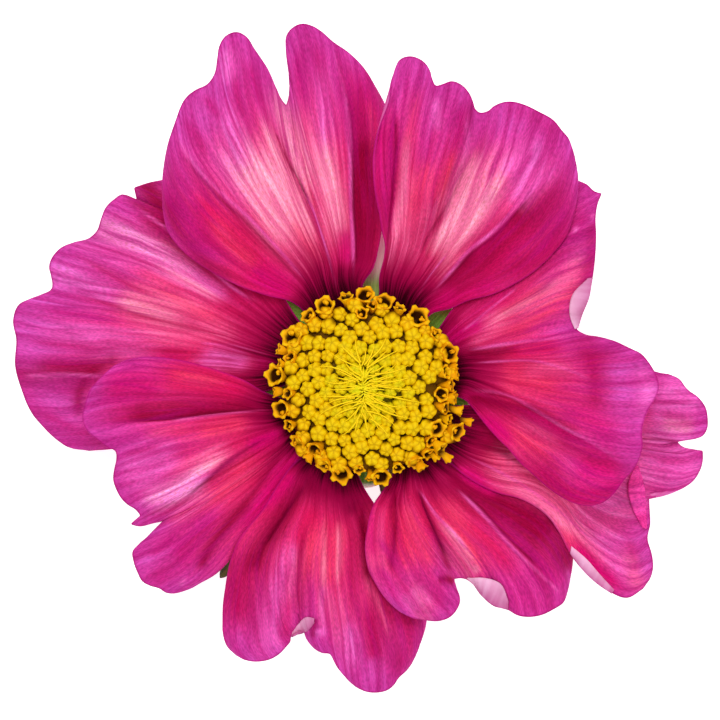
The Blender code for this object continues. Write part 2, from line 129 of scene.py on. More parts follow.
# Each petal, like the frame's own: the bearings of its root, its outline, the height of its
# middle vein, its ribs as (bearing, height), and the petals that it lies over. Folds are
# (height, width, line). Flaps are turned-over stretches of the margin: (line of the turn, line
# of the free edge, height, 1 where the underside shows). Tints are (kind, strength, width,
# line), where a pair of widths is for the left and the right of a line that runs outward.
PETALS = {}
PETALS["petal_left"] = {
    "root": (176, 138),
    "left": ((-10.5, -0.3), (-14, -1), (-18, -2.6), (-21.5, -4.4), (-25, -5.9)),
    "tip": (
        (-28, -6.2), (-30.2, -5.8), (-31.5, -4.9), (-32.7, -3.7), (-33.7, -2.5), (-34.8, 0),
        (-35.4, 2.3), (-35.3, 5), (-35.6, 7), (-35, 8.5), (-34, 9), (-32.7, 9.5), (-31.8, 10),
        (-31.8, 11.3), (-32, 12.2), (-31, 14), (-29.5, 14.7), (-28.1, 15.1), (-27.2, 15.9),
        (-26.8, 17), (-26.3, 18.2), (-25.5, 19), (-24.7, 19.5), (-23.7, 19.1), (-23.2, 19),
        (-23.5, 20.2), (-22, 20.7), (-20.5, 21),
    ),
    "right": ((-7.4, 7.6), (-8.8, 9.8), (-10.6, 12.4), (-12.8, 15.2), (-16.6, 19)),
    "arch": (9.9, 10.5, 10.2, 8.8, 6.6),
    "ribs": (
        (210, -0.6), (195, -0.7), (185.5, -0.4), (183.5, 0.5), (180, -0.3), (172, 0.6), (165, -0.6),
        (157, 0.6), (150.5, -0.7), (143, 0.8), (136, 0.1), (131, -0.8), (108, -1.8),
    ),
    "over": (),
    "folds": (
        (0.25, 0.5, ((-10.5, 8.3), (-13.7, 10.4), (-16.5, 12.9), (-20.2, 16.1), (-23.3, 18.6))),
        (-0.35, 0.5, ((-12, 4.8), (-16.5, 5.7), (-20.5, 6.7), (-24.3, 7.8), (-27.4, 8.9),
            (-31.2, 9.7))),
        (-0.3, 0.5, ((-16, 8.4), (-20, 9.3), (-23.7, 10.3), (-26.5, 11.9), (-29.8, 13.8))),
        (0.2, 0.5, ((-26, 1.1), (-34.5, 1.4))),
    ),
    "flaps": (),
    "tints": (
        ("rose", 0.75, 2.6, ((-15, 7), (-19.5, 8.6), (-25, 10.2))),
        ("rose", 0.8, 1.2, ((-12.5, 5.4), (-17, 6), (-24, 5.4))),
        ("ember", 0.6, 0.8, ((-12, 1.4), (-15, 1.8), (-18, 2.4))),
        ("rose", 0.8, 0.6, ((-10.6, 2.6), (-13.5, 2.7), (-16.5, 2.6))),
        ("magenta", 0.6, 0.7, ((-17, 3), (-21, 3.2), (-25, 2.6))),
        ("violet", 0.8, 3.2, ((-27, -4), (-32, -1), (-34, 5), (-31, 12), (-26, 17.5))),
        ("sheen", 0.7, 1.3, ((-20, 3.9), (-25, 4.6), (-30, 5.4), (-34, 6.4))),
        ("coral_highlight", 0.75, 1, ((-17.5, 6.7), (-21.5, 7.8), (-26, 9.4))),
        ("sheen", 0.8, 1.2, ((-24, 8.8), (-28, 10.6), (-33, 12))),
        ("shade", 1, (2.2, 1.6), ((-9.5, 7.4), (-13, 10.4), (-17, 14), (-20.5, 17.4), (-22.5, 20))),
        ("sheen", 0.6, 0.8, ((-13.6, 8.2), (-17, 10.2), (-21, 12.6), (-25.5, 15.2), (-28, 16.4))),
        ("coral_highlight", 0.7, 0.4, ((-14.5, 8.6), (-18, 10.7), (-22, 13))),
        ("coral", 0.6, 0.7, ((-14, 6.6), (-18, 8.4), (-22, 10.6))),
        ("wine_and_shadow", 0.75, 0.5, ((-9.4, 8.4), (-13, 11.2), (-17, 14.9), (-20.4, 18.6))),
        ("wine_and_shadow", 0.7, 0.6, ((-24.5, 3.1), (-27.3, 2), (-28.8, 0), (-29, -3))),
        ("shade", 0.85, 0.8, ((-26, 2.4), (-30, 2.3), (-34, 2.6))),
        ("shade", 0.7, 0.3, ((-13, 5.1), (-18, 6.1), (-22.5, 7.3), (-27, 8.8), (-31, 9.8))),
        ("shade", 0.7, 0.3, ((-19.5, 8.7), (-23.7, 10.3), (-26.5, 11.9), (-29.8, 13.8))),
        ("plum", 0.7, 0.5, ((-24, 6.4), (-29, 7.4), (-34, 8.2))),
        ("plum", 0.6, 0.35, ((-26, 4), (-30, 4.4), (-34.6, 4.9))),
        ("plum", 0.6, 0.4, ((-29, -4), (-33, -2.4))),
        ("plum", 0.6, 0.35, ((-23, 16), (-26.2, 18))),
        ("wine_and_shadow", 0.55, 1.3, ((-13.4, 10.4), (-17, 13.8), (-20, 17.4), (-24, 22))),
        ("magenta", 0.6, 0.7, ((-9, 2.6), (-11.5, 2.6), (-14, 2.6))),
        ("sheen", 0.6, 0.8, ((-11.6, 2.6), (-14.4, 2.8), (-18, 2.8))),
        ("sheen", 0.6, 1.2, ((-22, 11.6), (-26, 13.6), (-30, 15))),
        ("wine_and_shadow", 0.7, 0.9, ((-26, 2.2), (-31, 1.6), (-38, 1.6))),
        ("wine_and_shadow", 0.7, 1, ((-15, 12.6), (-18, 15), (-20.6, 18), (-23, 22))),
        ("sheen", 0.7, 0.9, ((-11.4, 3), (-14, 3.1), (-17, 3.1))),
        ("sheen", 0.5, 0.6, ((-13.6, 9.2), (-16.4, 11), (-19, 12.8))),
        ("plum", 0.5, 1.6, ((-31, -3.6), (-34.4, -0.6), (-36, 3.4))),
        ("crease_shade", 0.5, 0.14, ((-11, 8.9), (-13.7, 10.6), (-16.5, 13.1), (-20.2, 16.3),
            (-23.4, 18.6))),
        ("wine_and_shadow", 0.5, 0.8, ((-18, 13.6), (-21.8, 17), (-25, 21))),
        ("pale", 1, 1.1, ((-16.6, 11.2), (-20, 12.9), (-24, 15), (-30, 17.8))),
        ("highlight_line", 0.6, 0.14, ((-26, 1.2), (-30, 1.45), (-34.6, 1.35))),
        ("highlight_line", 0.6, 0.13, ((-11, 8.6), (-13.7, 10.3), (-16.5, 12.8), (-20.2, 16),
            (-23.4, 18.3))),
        ("highlight_line", 0.5, 0.1, ((-9.8, 3.4), (-13, 4.2), (-17, 4.6))),
    ),
}
PETALS["petal_upper_left"] = {
    "root": (129, 92),
    "left": ((-7.7, 8.7), (-10, 9.3), (-11.9, 9.9), (-15.8, 11.8), (-18.4, 13.7), (-20, 15.8)),
    "tip": (
        (-20.5, 18.1), (-20.5, 21), (-20.3, 22.6), (-19.9, 24.5), (-19.2, 26.6), (-18, 29.2),
        (-17.2, 29.8), (-16, 30.4), (-15.3, 31.4), (-15, 33), (-14.8, 34.2), (-14.2, 35.2),
        (-13, 35.6), (-12.2, 35.2), (-11.3, 33.9), (-10, 31.9), (-9.1, 29.9), (-8.5, 28.7),
        (-8.15, 28.3), (-7.9, 29.2), (-7.85, 30.5), (-8, 32.3), (-8.2, 34), (-8.1, 35.3),
        (-7.4, 36.1), (-6.6, 36.4), (-5.6, 36.2), (-4.6, 35.6), (-3.6, 34.7), (-2, 33.6),
        (-1, 32.7), (-0.1, 31.6), (0.6, 30.4), (1.4, 29), (1.85, 28.1),
    ),
    "right": ((-0.5, 10.4), (0.5, 12), (1.15, 14.5), (1.7, 20), (2.1, 24), (2.2, 26.5)),
    "arch": (9.9, 12.3, 14.4, 15.4, 15.2),
    "ribs": (
        (165, -3.4), (150, -2.6), (133, 0.9), (118, 0.5), (108, -0.4), (105, -1.2), (101, 0.1),
        (92, 0.7), (86, -1.4), (70, -3.2),
    ),
    "over": ("petal_left",),
    "folds": (
        (0.3, 0.45, ((-5.7, 10.3), (-8, 12.9), (-12, 17.2), (-15, 19.9), (-18.4, 24),
            (-19.2, 25.7))),
        (-0.4, 0.4, ((-3.1, 9.8), (-4.1, 13.5), (-5.1, 16.6), (-6.4, 19.7), (-8.3, 23.4),
            (-10.1, 27.5))),
        (-0.3, 0.35, ((-4.6, 15.5), (-5.1, 17.6), (-5.9, 20.2), (-6.4, 23.1), (-7.2, 25.4),
            (-8.1, 28.2))),
        (0.35, 0.35, ((-1.5, 9.8), (-1.5, 14.5), (-1.75, 18.7), (-1.8, 22.3), (-1.95, 26.5),
            (-2.5, 29.9), (-3.55, 34))),
    ),
    "flaps": (),
    "tints": (
        ("magenta", 0.95, 1.7, ((-6.8, 9.2), (-9.4, 10.6), (-12.6, 13))),
        ("ember", 0.85, 2.3, ((-9, 11.4), (-12.5, 14), (-16, 17.6), (-18.4, 21))),
        ("plum", 0.9, 1.5, ((-13.5, 12), (-17, 15.2), (-19.6, 19.4), (-19.6, 23.5))),
        ("coral", 0.8, 0.8, ((-10.6, 12), (-13.4, 14.4), (-16, 17.4))),
        ("shade", 0.6, 0.35, ((-11, 11.2), (-14.4, 13.6), (-17.8, 17.2))),
        ("shade", 0.7, (1.1, 0.14), ((-5.2, 9.7), (-8, 12.9), (-12, 17.2), (-15, 19.9), (-18.4, 24),
            (-19.2, 25.7))),
        ("violet", 0.7, 3, ((-15.5, 24), (-16.5, 28), (-13.6, 33.5))),
        ("rose", 0.95, (1.6, 2.6), ((-5.8, 12), (-9, 17.4), (-12, 22), (-15.4, 26.5))),
        ("coral_highlight", 1, 1.9, ((-6.6, 13.6), (-8.8, 17.6), (-11.2, 21.6), (-13.4, 25))),
        ("sheen", 0.7, 1.2, ((-12, 21), (-13.5, 25), (-14.2, 29))),
        ("sheen", 0.85, 0.9, ((-13.9, 30), (-14, 34.4))),
        ("coral", 0.75, 0.8, ((-4.4, 11.8), (-6.4, 14.8), (-8.2, 18))),
        ("coral_highlight", 0.8, 0.6, ((-5.2, 14), (-7, 18.4), (-8.8, 22.6), (-10.8, 27.4))),
        ("coral", 0.7, 0.5, ((-3.8, 12.4), (-5, 17), (-6.6, 21.6))),
        ("rose", 0.9, 1.5, ((-2.7, 13), (-3.9, 18), (-5, 23), (-6.4, 29))),
        ("coral_highlight", 0.95, 0.9, ((-2.7, 14), (-3.3, 18), (-4.1, 22), (-5, 26.4))),
        ("shade", 0.9, 0.3, ((-3.3, 10.6), (-4.1, 13.5), (-5.1, 16.6), (-6.4, 19.7), (-8.3, 23.4),
            (-9.6, 26.4))),
        ("ember", 0.4, 0.3, ((-4.9, 17.4), (-5.9, 20.6), (-7.1, 24.6), (-8, 27.8))),
        ("plum", 0.7, 0.5, ((-14.4, 26.5), (-16.6, 29.6))),
        ("plum", 0.8, 0.45, ((-12.3, 26), (-13, 29), (-13.2, 32))),
        ("plum", 0.8, 0.5, ((-10.4, 27.5), (-11.2, 30), (-12, 33))),
        ("plum", 0.7, 0.5, ((-15.5, 22.5), (-17.5, 25.5), (-18.8, 27.5))),
        ("plum", 0.7, 0.4, ((-4.4, 28), (-4.9, 32), (-5, 35))),
        ("plum", 0.8, 0.4, ((-6.3, 28), (-6.9, 31.4), (-6.9, 34.4))),
        ("shade", 1, (0.12, 3.4), ((-1.5, 9.8), (-1.5, 14.5), (-1.75, 18.7), (-1.8, 22.3),
            (-1.95, 26.5), (-2.5, 29.9), (-3.55, 34.2))),
        ("wine_and_shadow", 1, (0.1, 2.4), ((-1.5, 11.5), (-1.5, 14.5), (-1.75, 18.7), (-1.8, 22.3),
            (-1.9, 25.6))),
        ("plum", 0.8, 1.1, ((0.5, 24.5), (-0.2, 28.5), (-2, 32))),
        ("coral", 0.4, 0.5, ((0.6, 22.5), (0.6, 26), (-0.2, 29.4))),
        ("sheen", 0.3, 1.2, ((-11, 17), (-14.4, 20.8), (-18, 25))),
        ("coral_highlight", 0.8, 1.3, ((-7.4, 14.6), (-9.6, 18.4), (-12.4, 22.6))),
        ("coral_highlight", 0.7, 1, ((-5.6, 18), (-6.6, 22.6), (-8.6, 28), (-9.6, 31))),
        ("sheen", 0.7, 0.9, ((-4.4, 23), (-4.4, 28), (-4.6, 33))),
        ("magenta", 0.8, 1, ((-2.2, 12), (-2.3, 14), (-2.4, 16.6))),
        ("rose", 0.5, 1, ((-5.4, 11.4), (-7, 13.6), (-8.4, 16))),
        ("wine_and_shadow", 0.7, 1, ((-0.6, 14), (0.3, 17), (-0.2, 21), (-0.9, 25))),
        ("crease_shade", 0.7, 0.14, ((-1.2, 11.5), (-1.25, 14.5), (-1.5, 18.7), (-1.55, 22.3), (-1.7, 26.5),
            (-2.2, 29.9))),
        ("crease_shade", 0.5, 0.12, ((-3.1, 10.4), (-3.9, 13.3), (-4.9, 16.4), (-6.2, 19.5), (-8.1, 23.2))),
        ("crease_shade", 0.45, 0.14, ((-6, 9.9), (-8.4, 12.6), (-12.3, 16.8), (-15.2, 19.4),
            (-18.5, 23.4))),
        ("wine_and_shadow", 0.6, 0.9, ((-13.4, 10.2), (-16.6, 12.9), (-18.6, 15.4), (-20.2, 19.6))),
        ("highlight_line", 0.7, 0.13, ((-5.7, 10.3), (-8, 12.9), (-12, 17.2), (-15, 19.9), (-18.4, 24),
            (-19.2, 25.7))),
        ("highlight_line", 0.8, 0.12, ((-1.5, 9.8), (-1.5, 14.5), (-1.75, 18.7), (-1.8, 22.3), (-1.95, 26.5),
            (-2.5, 29.9), (-3.55, 34))),
        ("highlight_line", 0.7, 0.1, ((-3, 9.4), (-3.9, 13.2), (-4.9, 16.4), (-6.2, 19.6))),
    ),
}
PETALS["petal_lower_left"] = {
    "root": (-139, -171),
    "left": (
        (-7.6, -8.8), (-9.8, -12.3), (-12.2, -15.2), (-13.7, -17), (-15.4, -18.6), (-16.5, -19.2),
    ),
    "tip": (
        (-17.5, -19.8), (-18.5, -20.2), (-19.5, -20.4), (-20.2, -20.3), (-20.8, -19.9),
        (-21.8, -19.6), (-22.5, -19.2), (-23, -18.3), (-23.4, -17.2), (-23.5, -16.2),
        (-22.9, -15.5), (-22, -14.7), (-21, -13.7), (-20.5, -13.2), (-21.5, -13.4), (-22.8, -13.7),
        (-23.7, -13.5), (-22.7, -12.6), (-23.2, -12), (-24, -11.5), (-24.6, -10.9), (-25.1, -10),
        (-25.4, -9), (-25.3, -8), (-25.1, -7), (-25.2, -6.2), (-26, -5.8), (-27, -5), (-28, -4.2),
        (-28.4, -3.5), (-28.5, -2.5), (-28.2, -1.3), (-27.8, -0.2), (-27, 0.8), (-26.3, 1.5),
        (-25.2, 2.4), (-24, 2.9),
    ),
    "right": (
        (-10.5, -0.2), (-12, 0.7), (-15, 1.9), (-17, 2.5), (-19, 2.95), (-21, 3.2), (-22.5, 3.2),
    ),
    "arch": (9.9, 12.2, 14.2, 14.8, 13.8),
    "ribs": (
        (246, -2.6), (239, -2), (234, -0.6), (222, 0.2), (213, -0.9), (208, 0.9), (195, 0.8),
        (182, 0.2), (178.5, -0.9), (172, 0.1), (163, 0.9), (150, 0.7), (137, -0.2),
    ),
    "over": ("petal_left",),
    "folds": (
        (-0.4, 0.45, ((-10, -2), (-12.3, -2.2), (-15.8, -2.55), (-19.8, -3.05), (-24.8, -3.3),
            (-28.3, -3.2))),
        (0.4, 0.45, ((-9.8, -4.5), (-11.8, -5.6), (-14.3, -7.35), (-16, -8.85), (-18.3, -10.6),
            (-21.5, -12.1))),
        (-0.35, 0.45, ((-8.5, -6.6), (-10.8, -9.6), (-13.8, -13.3), (-15.8, -16.3), (-17, -19))),
    ),
    "flaps": (),
    "tints": (
        ("ember", 0.85, 1.8, ((-11.5, -0.2), (-17, 1.2), (-22, 1.6))),
        ("coral", 0.75, 0.7, ((-13.5, 0.2), (-17, 1), (-20.5, 1.7))),
        ("magenta", 0.8, 1.8, ((-20, -0.6), (-24, 0.6), (-27, -0.6))),
        ("shade", 0.9, (0.12, 2), ((-12.3, -2.2), (-15.8, -2.55), (-19.8, -3.05), (-24.8, -3.3),
            (-28, -3.2))),
        ("wine_and_shadow", 1, (0.12, 1.5), ((-10, -2), (-12.3, -2.2), (-15.8, -2.55), (-19.8, -3.05),
            (-24.4, -3.3))),
        ("plum", 0.6, 0.5, ((-22.5, -1.4), (-25.5, -1), (-27.6, -1.6))),
        ("coral", 0.9, 0.9, ((-11.4, -3.1), (-14.6, -3.9), (-17.6, -4.6))),
        ("coral", 0.6, 0.6, ((-17, -4.2), (-20, -4.3), (-23, -4.4))),
        ("sheen", 0.85, 1.7, ((-18.4, -5.9), (-22, -7.6), (-25, -9.2))),
        ("rose", 0.9, 0.9, ((-13.4, -5.6), (-16.6, -7.4), (-20.4, -9.6))),
        ("coral_highlight", 1, 0.55, ((-14, -6.4), (-16.4, -7.8), (-19, -9.7), (-22.4, -11.3))),
        ("sheen", 0.9, (0.15, 1.2), ((-15, -7.9), (-17, -9.6), (-19.6, -11.2), (-22, -12.3))),
        ("coral", 0.8, 1.3, ((-11, -6.6), (-14, -9.6), (-17.4, -12.2))),
        ("rose", 0.6, 0.7, ((-15, -10), (-17.6, -12), (-20.4, -13.6))),
        ("shade", 0.6, (0.8, 0.12), ((-9.8, -4.5), (-11.8, -5.6), (-14.3, -7.35), (-16, -8.85),
            (-18.3, -10.6), (-21.5, -12.1), (-23.4, -13.3))),
        ("magenta", 1, 1.3, ((-7, -7.4), (-9, -10), (-11.4, -13), (-13.2, -15.6))),
        ("plum", 0.8, 1.5, ((-14, -11), (-17.5, -15), (-21, -18.6))),
        ("wine_and_shadow", 0.85, 0.7, ((-11.6, -11), (-14, -13.6), (-16, -16.2), (-17, -18.4))),
        ("wine_and_shadow", 0.7, 0.5, ((-8.6, -6.8), (-10.8, -9.6), (-12.6, -12))),
        ("violet", 0.8, 0.9, ((-18.5, -16.5), (-21.6, -17.4), (-23, -16.8))),
        ("plum", 0.6, 0.35, ((-20, -5.8), (-24.6, -6.6))),
        ("plum", 0.6, 0.35, ((-19, -14.4), (-22, -17))),
        ("magenta", 1, 0.9, ((-8, -4.4), (-10, -5), (-12.4, -6))),
        ("magenta", 1, 1, ((-6, -6.2), (-7.6, -7.8), (-9.4, -9.8))),
        ("pale", 0.85, 1, ((-15.8, -8.8), (-19, -10.2), (-23, -11))),
        ("plum", 0.7, 1.2, ((-17, -15), (-20, -17.6), (-22, -20.4))),
        ("ember", 0.6, 0.7, ((-11.4, -0.6), (-14, 0), (-17, 0.4))),
        ("magenta", 1, 1.2, ((-6.4, -7.6), (-8, -9.2), (-10.4, -12))),
        ("crease_shade", 0.6, 0.16, ((-9.6, -1.8), (-12.3, -2.05), (-15.8, -2.4), (-19.8, -2.9),
            (-24, -3.1))),
        ("crease_shade", 0.5, 0.14, ((-10, -4.8), (-12, -5.9), (-14.5, -7.6), (-16.2, -9.1),
            (-18.5, -10.9))),
        ("highlight_line", 0.5, 0.12, ((-9.6, -2.1), (-12.3, -2.35), (-15.8, -2.7), (-19.8, -3.2))),
        ("highlight_line", 0.6, 0.22, ((-18.2, -18.8), (-18.8, -19.6))),
    ),
}
PETALS["petal_bottom"] = {
    "root": (-101, -130),
    "left": (
        (-0.3, -10), (0.6, -11.4), (2.2, -13.6), (3.6, -16.4), (5, -19.6), (5.8, -22),
        (5.85, -23.2),
    ),
    "tip": (
        (5.5, -24.5), (5.1, -25.8), (4.7, -26.9), (4, -28), (3, -29), (2.6, -29.6), (2, -30.1),
        (1, -30.35), (0, -30.3), (-1, -29.9), (-2, -29.1), (-3, -27.9), (-3.5, -26.9),
        (-3.8, -26.5), (-4.5, -26.4), (-5.3, -26), (-5.8, -25.4), (-5.9, -24.8), (-6.1, -24.2),
        (-7.3, -24.5), (-7.7, -24.8), (-7.8, -25.3), (-8.2, -25.8), (-9, -26.6), (-10, -27.1),
        (-11, -27.25), (-12.2, -27.1), (-13.2, -26.6),
    ),
    "right": (
        (-7.3, -7.3), (-9, -9.5), (-10.5, -12), (-12.2, -14), (-12.9, -15), (-13.7, -17),
        (-14.3, -20), (-14.5, -21.5), (-14.55, -23), (-14.5, -24.5), (-14.1, -25.7),
    ),
    "arch": (9.9, 11.6, 12.7, 12.2, 10.8),
    "ribs": (
        (-45, -3), (-62, -1.8), (-75, -0.4), (-82, 0.6), (-90, 0.2), (-94, 0.9), (-98, -0.7),
        (-104, -0.5), (-111, 0.9), (-119, -0.5), (-130, -0.9), (-152, -0.4),
    ),
    "over": ("petal_lower_left",),
    "folds": (
        (0.4, 0.5, ((-4.3, -12.5), (-4.5, -18.2), (-4.6, -22.5), (-4.5, -24.6))),
        (-0.35, 0.5, ((-6.9, -10.5), (-8.8, -13.5), (-10.2, -15.6), (-11.5, -18))),
        (-0.4, 0.45, ((-0.6, -11), (-0.45, -13), (0, -18.6), (0.75, -22.5), (1.95, -28.5))),
        (-0.3, 0.4, ((-6, -16), (-6.6, -20), (-6.7, -23))),
        (0.3, 0.5, ((-8, -13), (-8.6, -19), (-9.4, -25))),
    ),
    "flaps": (
        (((-7.65, -24.75), (-6.9, -24.45), (-6.1, -24.2), (-5.4, -23.3)),
         ((-7.5, -24.35), (-6.9, -23.5), (-6.1, -22.8), (-5.35, -22.9)), 0.4, 1),
    ),
    "tints": (
        ("shade", 0.9, 1.9, ((-10.6, -15), (-12.8, -20), (-13, -25))),
        ("plum", 0.6, 0.8, ((-10.6, -20), (-11, -25.6))),
        ("wine_and_shadow", 0.9, 1, ((-6, -8.8), (-8.4, -12.6), (-10.4, -15.6), (-11.8, -18.6))),
        ("wine_and_shadow", 0.9, 1, ((-5.8, -9), (-2.8, -9.2), (-1.2, -10.4), (-0.8, -12.4))),
        ("coral", 0.9, 1.2, ((-4.8, -12.5), (-5.8, -16.4), (-6.4, -20))),
        ("sheen", 0.5, 1.1, ((-7.2, -15), (-8.4, -18.6), (-9.3, -22.4))),
        ("sheen", 0.75, 1, ((-7.7, -20), (-8.8, -24), (-9.4, -26.4))),
        ("coral", 0.95, 1.2, ((-2.8, -13), (-3.6, -17), (-3.8, -20.4))),
        ("rose", 0.6, 0.9, ((-3.6, -19), (-3, -23), (-2, -27))),
        ("coral_highlight", 0.45, 0.26, ((-4.3, -12.5), (-4.5, -18.2), (-4.6, -22.5), (-4.5, -24.6))),
        ("wine_and_shadow", 0.9, 1.3, ((-6.4, -9.4), (-4, -9.6), (-1.4, -10))),
        ("ember", 0.7, 1, ((-5.4, -11.4), (-6.4, -14), (-7.4, -16))),
        ("rose", 0.7, 0.8, ((-7, -15.6), (-7.5, -19), (-8, -23))),
        ("sheen", 0.35, 1.1, ((-8.6, -18), (-10, -22), (-10.8, -28))),
        ("crease_shade", 0.9, 1.1, ((-7, -9), (-5, -9), (-2.6, -10), (-1, -12.8))),
        ("ember", 0.5, 0.8, ((-3.6, -12), (-4, -15), (-4.2, -18))),
        ("rose", 0.7, 0.5, ((0, -16), (0.1, -18.6), (0.4, -21))),
        ("shade", 0.9, 1, ((-0.2, -20.4), (0.2, -23.4), (1, -29))),
        ("magenta", 0.7, 0.8, ((-7.6, -20), (-8.2, -23), (-8.4, -26))),
        ("magenta", 0.9, 0.7, ((-7, -7.8), (-8.4, -9.6), (-10.6, -12.4))),
        ("crease_shade", 0.6, 0.3, ((-6.2, -9.4), (-8.5, -12.7), (-10.4, -15.7))),
        ("crease_shade", 0.5, 0.16, ((-0.7, -11), (-0.5, -13.4), (0, -18.6), (0.8, -22.4))),
        ("highlight_line", 0.8, 0.2, ((-4.5, -19.5), (-4.6, -22), (-4.4, -24.6))),
        ("coral_highlight", 0.5, 0.25, ((-3, -13), (-2.9, -17), (-3.1, -20))),
        ("shade", 0.7, 0.4, ((-6.1, -13), (-6.8, -17), (-6.9, -21.4), (-6.4, -23.6))),
        ("shade", 0.7, 0.35, ((-1.6, -13), (-1.8, -18), (-1.4, -24))),
        ("sheen", 0.7, 0.9, ((-2.2, -23), (-1.4, -28.6))),
        ("shade", 0.8, (3.2, 0.3), ((0, -14), (0.2, -18), (1, -21.5), (2.2, -26))),
        ("wine_and_shadow", 0.95, (0.5, 0.8), ((-0.75, -11), (-0.5, -13), (-0.1, -16.6), (0.2, -19.4))),
        ("shade", 0.7, 1.2, ((3.4, -20), (4, -25), (2.6, -30))),
        ("wine_and_shadow", 0.5, 0.7, ((0.2, -15.5), (0.8, -19.6), (2.4, -22.3), (5.2, -23.6))),
        ("rose", 0.5, 0.28, ((0.3, -19.3), (1, -21.5), (1.6, -23.2), (2.2, -25.4))),
        ("violet", 0.7, 0.8, ((0.4, -26.5), (0.6, -29.6))),
        ("wine_and_shadow", 0.8, 0.3, ((-5.2, -22.8), (-5.5, -24.9))),
        ("sheen", 0.9, 0.45, ((-4.9, -23.8), (-4.4, -24.8))),
    ),
}
